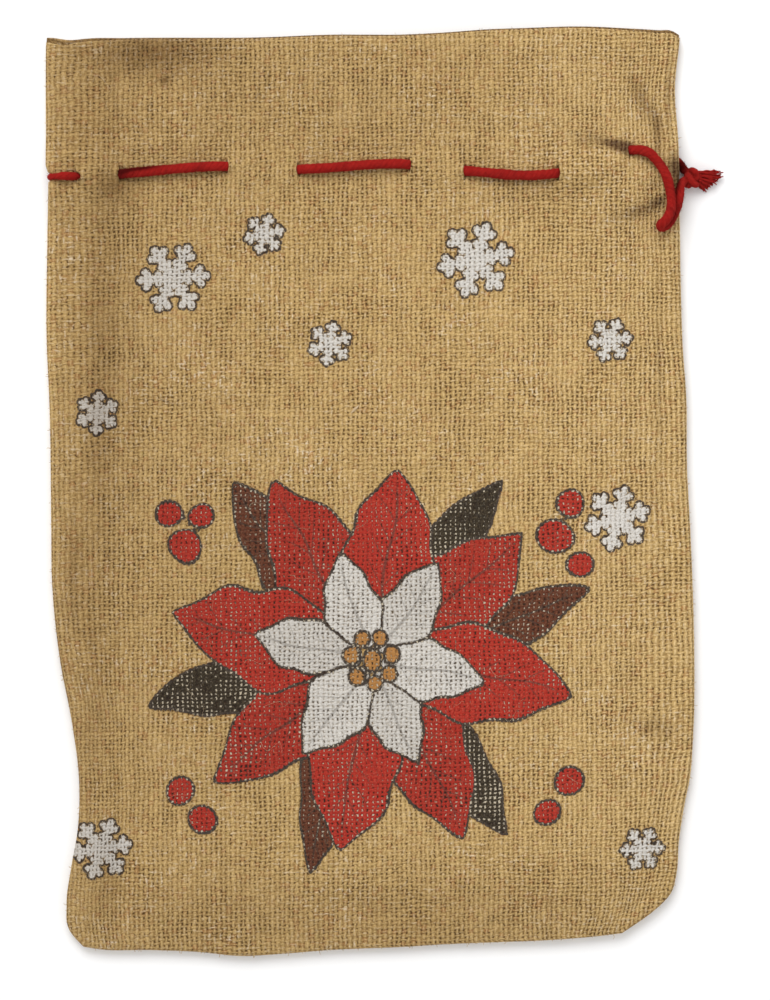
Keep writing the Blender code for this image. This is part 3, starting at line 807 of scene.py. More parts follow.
# %% Snowflakes
SNOWFLAKES = (  # x, y, radius in millimetres, turn in degrees
    (-108, 118, 20, 4),
    (-22, 82, 12, 20),
    (58, 128, 21, 12),
    (132, 84, 12, 8),
    (-150, 44, 12, 26),
    (136, -14, 18, 16),
    (-148, -196, 17, 10),
    (150, -196, 12, 3),
    (-58, 142, 11, 14),
)
FLAKE_ROOM = 5  # millimetres round a snowflake where its place is still kept


def flake_place(points):
    """Each point's place in the frame of the nearest snowflake, in radii, and that radius or zero."""
    x, y = points[:, 0] / MM, points[:, 1] / MM
    best = np.full(len(x), np.inf)
    found = np.zeros((len(x), 3))
    for mid_x, mid_y, radius, turn in SNOWFLAKES:
        dx, dy = (x - mid_x) / radius, (y - mid_y) / radius
        away = np.hypot(dx, dy) * radius
        size = np.where(away < radius + FLAKE_ROOM, float(radius), 0.0)
        place = np.stack([*rotated(dx, dy, turn), size], -1)
        found[away < best] = place[away < best]
        best = np.minimum(best, away)
    return found


print("snowflakes:", len(SNOWFLAKES))

# %% [markdown]
# ## Stains and painted shade
#
# Jute is never clean: the face has two dark stains. The other soft marks are painted shade: by the
# slack loop, where the cord goes in and by the knot, in folds, along the seams and over broad parts of
# the face, with less of it along the left edge. Each is a soft oval.

# %% Stains and painted shade
# painted shade by the slack loop, where the cord goes in, and by the knot
LOOP_SHADE = (  # x, y, half length, half width, turn in degrees, strength
    (139.7, 189.9, 5.0, 2.6, -20, 2.1),
    (133, 191.8, 7, 2.8, -16, 0.75),
    (121, 193.5, 12, 5, -8, 0.3),
    (159.5, 160.8, 4.5, 2.3, 30, 0.9),
    (150, 156.3, 9, 3.2, 20, 0.5),
    (138, 152, 12, 4.5, 12, 0.25),
    (167.5, 179, 4.0, 7, 0, 1.2),
)
SPOTS_AND_SHADE = (  # the same, for two real dark stains and for painted shade. A negative strength takes away from the others there
    (-113, 226.5, 2.4, 1.8, 20, 0.9),
    (-84.5, -244, 1.6, 1.2, 0, 0.8),
    (158, -130, 14, 6, -10, 0.3),
    (-118, 242, 34, 13, 0, 0.5),
    (30, -236, 140, 22, 0, 0.2),
    (-152, -110, 7, 60, 0, 0.15),
    (-151, 60, 8, 90, 0, 0.2),
    (-146, -215, 9, 22, 0, 0.15),
    (-165, 215, 26, 60, 0, 0.1),
    (-10, 218, 150, 60, 0, 0.2),
    (-140, 100, 15, 125, 0, 0.17),
    (-163, -45, 5, 34, 0, 0.25),
    (-178, 50, 3.5, 210, 0, -0.3),
    (151, 215, 16, 4, -62, 0.5),
    (158.5, 199, 2.6, 13, 0, 0.5),
    (164, 219, 1.3, 24, 0, 0.35),
    (159, 60, 2.2, 110, -1, 0.16),
    (-200, 0, 150, 400, 0, 0.3),
    (95, 166, 30, 8, 10, 0.16),
    (-140, 168, 10, 8, 0, 0.35),
    (169.5, 171.5, 1.8, 5.5, 0, 1.3),
)
RIM_SHADE = 0.8  # painted shade on the back's mouth, where it shows past the face


def marks(points, rows):
    """The strength of a table's ovals at each point, from 0 to 1."""
    return np.clip(ovals(points[:, 0] / MM, points[:, 1] / MM, rows), 0, 1)


face = thicken(
    make_mesh(
        "face_cloth",
        face_points,
        face_quads,
        face_uv,
        {**print_layers(face_points), "flake": flake_place(face_points)},
        {"loop_shade": marks(face_points, LOOP_SHADE), "spots_and_shade": marks(face_points, SPOTS_AND_SHADE)},
    )
)
rim_shade = RIM_SHADE * hump(back_points[:, 1] - mouth_edge(back_points[:, 0]), 2 * MM, 6 * MM)
back = thicken(
    make_mesh("back_cloth", back_points, back_quads, back_uv, None, {"spots_and_shade": rim_shade})
)
print("triangles: face", triangles(face), "back", triangles(back))

# %% [markdown]
# ## Tubes
#
# The cord, the knot and its frayed ends are tubes along a path. The rings must not twist by
# themselves, so each ring's frame is the last one turned just enough to follow the path. The plies of
# the yarn are then a relief: the radius falls in grooves, and the grooves turn round the tube once
# for every pitch.

# %% Tubes
LUMP_LENGTH = 2.4 * MM
LUMP_ROUND = 2.6 * MM  # the circle on which the lumps are read, so that they close round the tube
ROUND_UV = 3.2 * CORD  # how far the UV map goes in one turn round a tube
WOOL_SHADE_OVALS = (  # painted shade on the wool where it lies in shadow, as ovals like those of the cloth
    (-126, 177.8, 13, 1.5, 7, 1.1),
    (-136.5, 175.4, 5, 4, 0, 0.8),
    (172, 180.5, 4.5, 4.5, 0, 1.1),
    (169.3, 171.5, 1.7, 5, -8, 1.1),
    (167.6, 168, 1.4, 8, 8, 0.4),
    (105, 175.4, 2.2, 4, 0, 0.7),
    (168, 152, 2, 6, -25, 0.45),
    (179.5, 175.2, 1.2, 1.6, -30, 0.6),
)


def frames(path):
    """Tangents, and two cross directions that turn with the path but not round it."""
    tangent = np.gradient(path, axis=0)
    tangent /= np.linalg.norm(tangent, axis=1)[:, None]
    start = np.cross(tangent[0], (0.0, 0.0, 1.0))
    if np.linalg.norm(start) < 0.1:
        start = np.cross(tangent[0], (0.0, 1.0, 0.0))
    side = [start / np.linalg.norm(start)]
    for ahead in tangent[1:]:
        turned = side[-1] - ahead * np.dot(side[-1], ahead)
        side.append(turned / np.linalg.norm(turned))
    side = np.array(side)
    return tangent, side, np.cross(tangent, side)


def tube(path, radius, sides, plies=1, pitch=1.0, groove=0.0, lump=0.0):
    """Points, faces, UV and groove depth of a tube along a path.

    The radius at a ring and an angle is the ring's radius times one less groove times the depth, and
    the depth is one less the size of the cosine of half of plies times the turned angle. Lumps a few
    millimetres long are added.
    """
    _, side, other = frames(path)
    run = run_along(path)
    angle = np.arange(sides) * math.tau / sides
    turned = angle[None, :] + math.tau * run[:, None] / pitch
    depth = 1 - np.abs(np.cos(plies * turned / 2)) if plies > 1 else np.zeros((len(path), sides))
    round_x = run[:, None] + LUMP_ROUND * np.sin(angle)
    round_y = 0 * round_x + LUMP_ROUND * np.cos(angle)
    relief = 1 - groove * depth + lump * ripples(round_x, round_y, LUMP_LENGTH, 8)
    radius = np.broadcast_to(np.asarray(radius, float), (len(path),))[:, None] * relief
    cosine, sine = np.cos(angle)[None, :, None], np.sin(angle)[None, :, None]
    ring = side[:, None, :] * cosine + other[:, None, :] * sine
    points = (path[:, None, :] + ring * radius[..., None]).reshape(-1, 3)
    uv = np.column_stack([(turned / math.tau * ROUND_UV).ravel(), np.repeat(run, sides)])
    faces = grid_faces(len(path), sides, closed=True)[:, ::-1]
    last = (len(path) - 1) * sides
    caps = [list(range(sides)), list(range(last + sides - 1, last - 1, -1))]
    return points, faces, uv, depth.ravel(), caps


def join_tubes(name, tubes):
    """One mesh from several tubes."""
    points, faces, uvs, depths, fans = [], [], [], [], []
    count = 0
    for p, f, uv, depth, caps in tubes:
        points.append(p)
        faces.append(f + count)
        uvs.append(uv)
        depths.append(depth)
        fans += [[corner + count for corner in cap] for cap in caps]
        count += len(p)
    points = np.vstack(points)
    numbers = {"groove": np.concatenate(depths), "shade": marks(points, WOOL_SHADE_OVALS)}
    return make_mesh(name, points, np.vstack(faces), np.vstack(uvs), None, numbers, fans)


print("a tube of 2 rings has", len(tube(np.array([[0, 0, 0], [0, 0, 1.0]]), 0.1, 6)[0]), "points")

# %% [markdown]
# ## The cord
#
# The drawstring is a thick wool yarn of four plies. It is drawn narrow where it is pulled tight round
# the left edge and where it enters the knot. Its thickness varies a little, as spun wool does.

# %% The cord
PLIES = 4
PLY_PITCH = 12.0 * MM
PLY_GROOVE = 0.045
LUMP = 0.035
CORD_SIDES = 26
NARROW_REACH = 9 * MM
EDGE_REACH = 5 * MM
FIRST_AT = -167 * MM  # the short stitch by the left edge is drawn narrow too
FIRST_REACH = (6 * MM, 15 * MM)  # all of it within the first distance, none beyond the second
FIRST_SHARE = 0.5  # this much of NARROW
END_SHARE = 0.84
SETTLED = 0.95  # the wool's own thickness against that of the solid cord
SWELL = 0.04  # how much thicker or thinner the yarn gets
SWELL_LENGTH = 14 * MM

run = np.linspace(0, cord_length, len(cord_path))
edge_x = float(left_edge(CORD_LEVEL))
at_edge = np.exp(-(((cord_path[:, 0] - edge_x) / EDGE_REACH) ** 2))
at_edge = np.maximum(at_edge, FIRST_SHARE * hump(cord_path[:, 0] - FIRST_AT, *FIRST_REACH))
at_ends = np.exp(-((np.minimum(run, cord_length - run) / NARROW_REACH) ** 2))
swell = 1 + SWELL * ripples(run, np.zeros_like(run), SWELL_LENGTH, 3)
thinner = 1 - (1 - NARROW) * at_edge - (1 - END_SHARE) * at_ends
cord_radius = CORD / 2 * thinner * swell * SETTLED
cord_tube = tube(cord_path, cord_radius, CORD_SIDES, PLIES, PLY_PITCH, PLY_GROOVE, LUMP)
cord = join_tubes("wool_cord", [cord_tube])
print("cord:", triangles(cord), "triangles")

# %% [markdown]
# ## The knot
#
# The two ends are tied together in an overhand knot. A strand that winds three times round a ring
# while it goes round it twice is such a knot drawn tight. It is a closed curve, so it needs no ends,
# and a core fills the middle.

# %% The knot
KNOT_AT = np.array([177.6, 173.6, 5.5]) * MM
KNOT_RING = 2.6 * MM
KNOT_WIND = 1.35 * MM
KNOT_DEEP = 2.4 * MM
KNOT_STRAND = 1.95 * MM
KNOT_STEPS = 170
KNOT_LONG = 1.1  # the ring is drawn out along Y by this
KNOT_LOW = 0.9  # and pressed down by this
KNOT_SIDES = 18
END_STRAND = 2.1 * MM
END_STEPS = 24


def knot_path():
    """The knot's strand, its ring across X: the ring's radius swings three times in two rounds."""
    turn = np.linspace(0, math.tau, KNOT_STEPS)
    reach = KNOT_RING + KNOT_WIND * np.cos(3 * turn)
    deep = KNOT_DEEP * np.sin(3 * turn)
    along, up = reach * np.cos(2 * turn) * KNOT_LONG, reach * np.sin(2 * turn) * KNOT_LOW
    return KNOT_AT + np.column_stack([deep, along, up])


def straight(start, end, steps):
    """Points from start to end, which are in millimetres."""
    t = np.linspace(0, 1, steps)[:, None]
    start, end = np.array(start) * MM, np.array(end) * MM
    return start + (end - start) * t


KNOT_ENDS = (  # from where the cord comes in to where its end goes out
    ((173.2, 172.4, 8.0), (182.4, 174.6, 5.2)),
    ((174.0, 177.6, 4.6), (182.4, 173.4, 4.8)),
)
knot_paths = [(knot_path(), KNOT_STRAND)]
knot_paths += [(straight(start, end, END_STEPS), END_STRAND) for start, end in KNOT_ENDS]
knot = join_tubes(
    "wool_knot",
    [tube(path, radius, KNOT_SIDES, PLIES, PLY_PITCH, PLY_GROOVE, LUMP) for path, radius in knot_paths],
)
print("knot:", triangles(knot), "triangles")

# %% [markdown]
# ## Frayed ends
#
# Past the knot the plies have come apart into a flat brush of thin, kinked strands. Each strand runs
# from the knot to a place on a short arc of ends, with a kink of its own, and rests near the ground.

# %% Frayed ends
FRAY_ROOT = np.array([181.4, 173.8, 4.8])
FRAY_WIDE = 3.1  # half the width of the brush at its root
FRAY_ENDS = (  # x, y, z: the outline of the brush, from its upper end round to its lower one
    (194.0, 178.0, 3.8), (194.9, 175.4, 2.8), (193.4, 172.8, 3.0), (191.9, 170.8, 3.4),
    (189.2, 169.7, 2.6), (187.4, 168.4, 2.0), (185.4, 166.4, 1.6),
)
FRAY_STRANDS = 72
FRAY_RADIUS = 0.69 * MM
FRAY_THIN = 0.55  # the share of it that a strand loses to its end
FRAY_SIDES = 7
FRAY_PLIES = 2
FRAY_PITCH = 2.2 * MM
FRAY_GROOVE = 0.22
FRAY_LOWEST = 0.8  # millimetres over the ground
FRAY_STEPS = 18
FRAY_SPREAD = 1.3  # above 1 more strands lie at the upper side


def fray_strands():
    """Paths of the strands: a straight run to a place on the arc of ends, kinked by a random wave."""
    draw = np.random.default_rng(77)
    ends = np.array(FRAY_ENDS)
    place = np.linspace(0, 1, FRAY_STRANDS) ** FRAY_SPREAD
    paths = []
    for share in place:
        strand = share * (len(ends) - 1)
        row = min(int(strand), len(ends) - 2)
        end = ends[row] + (ends[row + 1] - ends[row]) * (strand - row)
        t = np.linspace(0, 1, FRAY_STEPS)[:, None]
        root = FRAY_ROOT + (0, FRAY_WIDE * (1 - 2 * share), 0) + draw.normal(0, (0.1, 0.4, 0.9))
        end = root + (end - root) * draw.uniform(0.72, 1.0) + draw.normal(0, (0.2, 0.3, 0.5))
        kink = draw.normal(0, 1, (2, 3)) * (0.4, 0.4, 0.35)
        wave = np.sin(t * math.pi * draw.uniform(1, 2)) * kink[0]
        wave = wave + np.sin(t * math.pi * 3.3) * kink[1] * 0.6
        bow = np.array([0, 0, 1.0]) * 4 * t * (1 - t)
        path = root + (end - root) * t + wave * t**0.6 + bow
        path[:, 2] = np.maximum(path[:, 2], FRAY_LOWEST)
        paths.append(path * MM)
    return paths


def fray_tube(path):
    """A strand that thins to its end."""
    t = np.linspace(0, 1, len(path))
    radius = FRAY_RADIUS * (1 - FRAY_THIN * t**2)
    return tube(path, radius, FRAY_SIDES, FRAY_PLIES, FRAY_PITCH, FRAY_GROOVE)


tail = join_tubes("wool_ends", [fray_tube(path) for path in fray_strands()])
print("frayed ends:", triangles(tail), "triangles")

# %% [markdown]
# ## Fuzz and loose fibres
#
# Wool is fuzzy, and jute sheds fibres that lie on the cloth. Both are three-sided hairs, made all at
# once: every hair is a straight line plus two bends of random size, and thins to its tip.

# %% Hairs
FUZZ = 4200
FUZZ_LENGTH = 1.2 * MM
FUZZ_RADIUS = 0.06 * MM
FUZZ_BEND = 0.22  # size of a hair's bends, as a share of its length
FUZZ_STEPS = 4  # points of a hair
LOOSE = 300
LOOSE_LENGTH = (4 * MM, 17 * MM)
LOOSE_RADIUS = 0.07 * MM
LOOSE_BEND = 0.11
LOOSE_STEPS = 9
LOOSE_LIE = CLOTH / 2 + 0.35 * MM
LOOSE_X = (-0.168, 0.162)  # the part of the face on which they lie
LOOSE_Y = (-0.238, 0.24)
LOOSE_ROOM = 12 * MM  # between them and the cord's line
LOOP_FROM = 0.135  # none lies past this x between these levels, where the loop is
LOOP_LEVELS = (0.125, 0.21)
RIM_FIBRES = 260  # on each of the four sides
RIM_LENGTH = (0.5 * MM, 1.5 * MM)
RIM_RADIUS = 0.3 * MM
RIM_BEND = 0.2
RIM_STEPS = 5
RIM_SIDES = ((0.49, -0.245), (0.47, -0.232), (0.34, -0.175), (0.29, -0.155))  # length and start
SLUB_ENDS = ((-10.5, 43.8, 0), (-6.0, 48.2, 0))
SLUB_STEPS = 14
SLUB_RADIUS = 0.75 * MM


def hair_paths(roots, headings, lengths, bend, steps, draw):
    """Paths of many hairs at once: hair, step, coordinate."""
    t = np.linspace(0, 1, steps)[None, :, None]
    bends = draw.normal(0, bend, (2, len(roots), 1, 3))
    wave = bends[0] * np.sin(np.pi * t) + bends[1] * np.sin(2.3 * np.pi * t)
    return roots[:, None, :] + (headings[:, None, :] * t + wave) * lengths[:, None, None]


def hair_mesh(paths, radius):
    """Points and faces of three-sided tubes along many paths. The radius falls to a third at the tip."""
    count, steps, _ = paths.shape
    tangent = np.gradient(paths, axis=1)
    side = np.cross(tangent, (0.12, 0.31, 0.94))
    side /= np.linalg.norm(side, axis=-1, keepdims=True) + 1e-12
    other = np.cross(tangent, side)
    other /= np.linalg.norm(other, axis=-1, keepdims=True) + 1e-12
    thin = radius * np.linspace(1, 0.33, steps)[None, :, None, None]
    angle = (np.arange(3) * math.tau / 3)[None, None, :, None]
    ring = side[:, :, None, :] * np.cos(angle) + other[:, :, None, :] * np.sin(angle)
    points = (paths[:, :, None, :] + ring * thin).reshape(-1, 3)
    faces = grid_faces(steps, 3, closed=True)
    faces = faces[None] + (np.arange(count) * steps * 3)[:, None, None]
    return points, faces.reshape(-1, 4)


def add_fuzz():
    """Hairs that stand off the cord where it is in the open, leaning along it."""
    draw = np.random.default_rng(31)
    tangent, side, other = frames(cord_path)
    x, y, z = cord_path.T
    at = draw.choice(np.flatnonzero((z > front_height(x, y)) | (x > right_edge(y))), FUZZ)
    turn = draw.uniform(0, math.tau, FUZZ)[:, None]
    out = side[at] * np.cos(turn) + other[at] * np.sin(turn)
    roots = cord_path[at] + out * cord_radius[at][:, None] * 0.93
    headings = out * draw.uniform(0.25, 1.0, (FUZZ, 1)) + tangent[at] * draw.normal(0, 0.8, (FUZZ, 1))
    lengths = FUZZ_LENGTH * draw.uniform(0.4, 1.3, FUZZ)
    paths = hair_paths(roots, headings, lengths, FUZZ_BEND, FUZZ_STEPS, draw)
    paths[..., 2] = np.maximum(paths[..., 2], FUZZ_RADIUS)
    points, faces = hair_mesh(paths, FUZZ_RADIUS)
    blank = np.zeros(len(points))
    numbers = {"groove": blank, "shade": marks(points, WOOL_SHADE_OVALS)}
    return make_mesh("wool_fuzz", points, faces, np.column_stack([blank, blank]), None, numbers)


def add_loose_fibres():
    """Fibres that lie on the face, clear of the cord and its loop."""
    draw = np.random.default_rng(57)
    x = draw.uniform(*LOOSE_X, LOOSE)
    y = draw.uniform(*LOOSE_Y, LOOSE)
    apart = np.abs(y - smooth(FRONT_LINE, x / MM) * MM) > LOOSE_ROOM
    apart &= (x < LOOP_FROM) | (y < LOOP_LEVELS[0]) | (y > LOOP_LEVELS[1])
    x, y = x[apart], y[apart]
    heading = draw.choice([0.0, math.pi / 2], len(x)) + draw.normal(0, 0.35, len(x))
    headings = np.column_stack([np.cos(heading), np.sin(heading), 0 * heading])
    lengths = draw.uniform(*LOOSE_LENGTH, len(x))
    roots = np.column_stack([x, y, 0 * x]) - headings * lengths[:, None] / 2
    paths = hair_paths(roots, headings, lengths, LOOSE_BEND, LOOSE_STEPS, draw)
    on_y = paths[..., 1]
    on_x = np.clip(paths[..., 0], left_edge(on_y) + 2 * MM, right_edge(on_y) - 2 * MM)
    lift = np.abs(draw.normal(0, 0.5 * MM, (len(x), 1))) * np.linspace(0, 1, LOOSE_STEPS) ** 3
    paths[..., 0] = on_x
    paths[..., 2] = front_height(on_x, on_y) + LOOSE_LIE + lift
    return make_mesh("jute_fibres", *hair_mesh(paths, LOOSE_RADIUS))


def add_rim_fibres():
    """Short ends of fibres that stand out past the turned edges, all round the face."""
    draw = np.random.default_rng(91)
    length, start = np.array(RIM_SIDES).T[:, :, None]
    left_y, right_y, mouth_x, foot_x = draw.uniform(0, 1, (4, RIM_FIBRES)) * length + start
    x = np.concatenate([left_edge(left_y), right_edge(right_y), mouth_x, foot_x])
    y = np.concatenate([left_y, right_y, mouth_edge(mouth_x), foot_edge(foot_x)])
    out = np.repeat([[-1.0, 0], [1, 0], [0, 1], [0, -1]], RIM_FIBRES, axis=0)
    free = np.abs(y - CORD_LEVEL) > 9 * MM
    x, y, out = x[free], y[free], out[free]
    headings = out * draw.uniform(0.2, 1, (len(x), 1)) + draw.normal(0, 0.6, (len(x), 2))
    headings = np.column_stack([headings, draw.normal(0, 0.25, len(x))])
    low = front_height(x, y) - FOLD + draw.uniform(-FOLD, FOLD, len(x))
    roots = np.column_stack([x - out[:, 0] * 0.3 * MM, y - out[:, 1] * 0.3 * MM, low])
    lengths = draw.uniform(*RIM_LENGTH, len(x))
    paths = hair_paths(roots, headings, lengths, RIM_BEND, RIM_STEPS, draw)
    return make_mesh("jute_rim", *hair_mesh(paths, RIM_RADIUS))


def add_slub():
    """A thick place in one yarn: a spindle that lies on the face."""
    path = straight(*SLUB_ENDS, SLUB_STEPS)
    path[:, 2] = front_height(path[:, 0], path[:, 1]) + CLOTH / 2 + 0.1 * MM
    spindle = SLUB_RADIUS * np.sin(np.pi * np.linspace(0.06, 0.94, SLUB_STEPS)) ** 1.4 + 0.1 * MM
    points, faces, uv, _, caps = tube(path, spindle, 10)
    return make_mesh("jute_slub", points, faces, uv, fans=caps)


fuzz, fibres, rim_fibres, slub = add_fuzz(), add_loose_fibres(), add_rim_fibres(), add_slub()
print("hairs:", [triangles(piece) for piece in (fuzz, fibres, rim_fibres)], "triangles")

# %% [markdown]
# ## Node arithmetic
#
# Shader formulas are easier to read as sums than as lists of nodes. This small class holds a number
# in a node tree, and + - * / and a few functions each add the Math node that they stand for.

# %% Node arithmetic


class Term:
    """A number in a node tree."""

    def __init__(self, tree, socket):
        self.tree = tree
        self.socket = socket

    def math(self, operation, *others):
        """The result of a Math node for this number and the others."""
        node = self.tree.nodes.new("ShaderNodeMath")
        node.operation = operation
        for place, value in enumerate((self, *others)):
            if isinstance(value, Term):
                self.tree.links.new(value.socket, node.inputs[place])
            else:
                node.inputs[place].default_value = value
        return Term(self.tree, node.outputs[0])

    def __add__(self, other):
        return self.math("ADD", other)

    def __sub__(self, other):
        return self.math("SUBTRACT", other)

    def __mul__(self, other):
        return self.math("MULTIPLY", other)

    def __truediv__(self, other):
        return self.math("DIVIDE", other)

    def __rsub__(self, other):
        return (self * -1.0) + other

    __radd__ = __add__
    __rmul__ = __mul__

    def size(self):
        """The number without its sign."""
        return self.math("ABSOLUTE")

    def step(self, low, high):
        """0 at low and 1 at high, with an eased slope between. low may be the larger."""
        node = self.tree.nodes.new("ShaderNodeMapRange")
        node.interpolation_type = "SMOOTHSTEP"
        self.tree.links.new(self.socket, node.inputs["Value"])
        node.inputs["From Min"].default_value = low
        node.inputs["From Max"].default_value = high
        return Term(self.tree, node.outputs["Result"])


def attribute(tree, name):
    """The vector of an attribute that holds three numbers, and the number of one that holds one."""
    node = tree.nodes.new("ShaderNodeAttribute")
    node.attribute_name = name
    return node.outputs["Vector"], Term(tree, node.outputs["Fac"])


def parts_of(tree, vector):
    """The three numbers of a vector."""
    node = tree.nodes.new("ShaderNodeSeparateXYZ")
    tree.links.new(vector, node.inputs[0])
    return [Term(tree, out) for out in node.outputs]


def vector_of(tree, *terms):
    """A vector from up to three numbers."""
    node = tree.nodes.new("ShaderNodeCombineXYZ")
    for term, place in zip(terms, node.inputs):
        if isinstance(term, Term):
            tree.links.new(term.socket, place)
        else:
            place.default_value = term
    return node.outputs[0]


def noise(tree, vector, scale, detail=1.0, kind="Fac"):
    """Smooth noise of mean a half. Its colour holds three independent ones."""
    node = tree.nodes.new("ShaderNodeTexNoise")
    node.inputs["Scale"].default_value = scale
    node.inputs["Detail"].default_value = detail
    tree.links.new(vector, node.inputs["Vector"])
    return Term(tree, node.outputs["Fac"]) if kind == "Fac" else node.outputs["Color"]


def random_of(tree, *terms):
    """A random number from 0 to 1 for each place."""
    node = tree.nodes.new("ShaderNodeTexWhiteNoise")
    tree.links.new(vector_of(tree, *terms), node.inputs["Vector"])
    return Term(tree, node.outputs["Value"])


def blend(tree, factor, one, two, kind="MIX"):
    """Colour one where factor is 0 and colour two, or one times two, where it is 1."""
    node = tree.nodes.new("ShaderNodeMix")
    node.data_type = "RGBA"
    node.blend_type = kind
    for value, place in ((factor, 0), (one, 6), (two, 7)):
        if isinstance(value, Term):
            tree.links.new(value.socket, node.inputs[place])
        elif isinstance(value, bpy.types.NodeSocket):
            tree.links.new(value, node.inputs[place])
        else:
            node.inputs[place].default_value = (*value, 1) if place else value
    return node.outputs[2]


def new_group(name, inputs, outputs):
    """A node group with the named inputs and outputs, and its input and output nodes."""
    tree = bpy.data.node_groups.new(name, "ShaderNodeTree")
    for label, kind in inputs:
        tree.interface.new_socket(label, in_out="INPUT", socket_type=kind)
    for label, kind in outputs:
        tree.interface.new_socket(label, in_out="OUTPUT", socket_type=kind)
    return tree, tree.nodes.new("NodeGroupInput"), tree.nodes.new("NodeGroupOutput")


def place_group(tree, group):
    """A node that runs a group in another tree."""
    node = tree.nodes.new("ShaderNodeGroup")
    node.node_tree = group
    return node


def link_outputs(tree, out, terms):
    """Links numbers to a group's outputs, by name."""
    for label, term in terms.items():
        tree.links.new(term.socket, out.inputs[label])


def new_material(name, values):
    """A material with values for its shader's inputs, its node tree and that shader."""
    material = bpy.data.materials.new(name)
    material.use_nodes = True
    shader = material.node_tree.nodes["Principled BSDF"]
    for label, value in values.items():
        shader.inputs[label].default_value = value
    return material, material.node_tree, shader


def cloth_uv(tree):
    """The place of the flat cloth or the tube, from the UV map."""
    node = tree.nodes.new("ShaderNodeUVMap")
    node.uv_map = "cloth"
    return node.outputs["UV"]


def add_bump(tree, shader, height, strength, distance):
    """Gives a shader the relief of a height."""
    bump = tree.nodes.new("ShaderNodeBump")
    bump.inputs["Strength"].default_value = strength
    bump.inputs["Distance"].default_value = distance
    tree.links.new(height.socket, bump.inputs["Height"])
    tree.links.new(bump.outputs["Normal"], shader.inputs["Normal"])


VECTOR, NUMBER = "NodeSocketVector", "NodeSocketFloat"
print("a smooth step, a sum and a blend are all that most masks need")

# %% [markdown]
# ## Plain weave
#
# Burlap is a plain weave: every warp yarn goes over one weft yarn and under the next. In the group
# below u counts warp yarns and v weft rows. A yarn's cross section is a parabola, and its crown rises
# and falls along a cosine, out of step with its neighbours. The surface is the higher of the two
# yarns, and where both are low there is a hole. Spun jute is uneven, so the yarns wander, and each is
# thick and thin along its length.

# %% Weave group
WARP_PITCH = 2.68  # millimetres between warp yarns
WEFT_PITCH = 2.37  # and between weft rows
WARP_HALF = 0.376  # half width of a yarn, in pitches
WEFT_HALF = 0.336
SLUB = 0.3  # how much thicker or thinner a yarn gets
CRIMP = 0.24  # millimetres by which a yarn's crown rises and falls
ROUND = 0.55  # height of a yarn's cross section
LEAN = 0.9  # how far the warp stands over the weft here and under it there
WANDER = 2.6  # millimetres by which the yarns wander, as a share of the noise
JOG = 1.6  # and by which each crown is out of its place
FRINGE = 0.75  # how ragged the yarns are
FILLING = 0.6  # how far loose fibres fill some of the holes between the yarns
DENSE_FROM = (-138.0, -164.0)  # the cloth is closer woven towards its left edge, in millimetres
DENSER = 0.05
WARP_SLANT = 0.05  # each crown lies a little askew, because the yarns are twisted
WEFT_SLANT = 0.12


def askew(turn, slant):
    """How far aside a yarn lies before and after its crown. turn counts the crown's waves."""
    return (turn - turn.math("ROUND")) * (2 * slant)


def yarn(across, half, turn):
    """The height of a yarn: a parabola across it, and a cosine along it."""
    return (1.0 - (across / half).math("POWER", 2.0)) * ROUND + (turn * math.tau).math("COSINE") * CRIMP


def yarn_tone(slub, chance):
    """How pale a yarn is: by chance, and paler where it is thick."""
    return chance * 0.45 + slub * 1.1 - 0.77


def yarn_fibre(tree, across, along, number):
    """The fine fibres of a yarn, stretched along it and aslant because it is twisted."""
    place = vector_of(tree, across * 5.0 - along * 2.4, along * 1.1 + across, number)
    return noise(tree, place, 1.0, 2.0)


def lit(across, aside):
    """1 along the top of a yarn."""
    return (across - aside * 2.0).size().step(0.2, 0.04)


def between(one, two, share):
    """one where share is 0 and two where it is 1."""
    return one + (two - one) * share


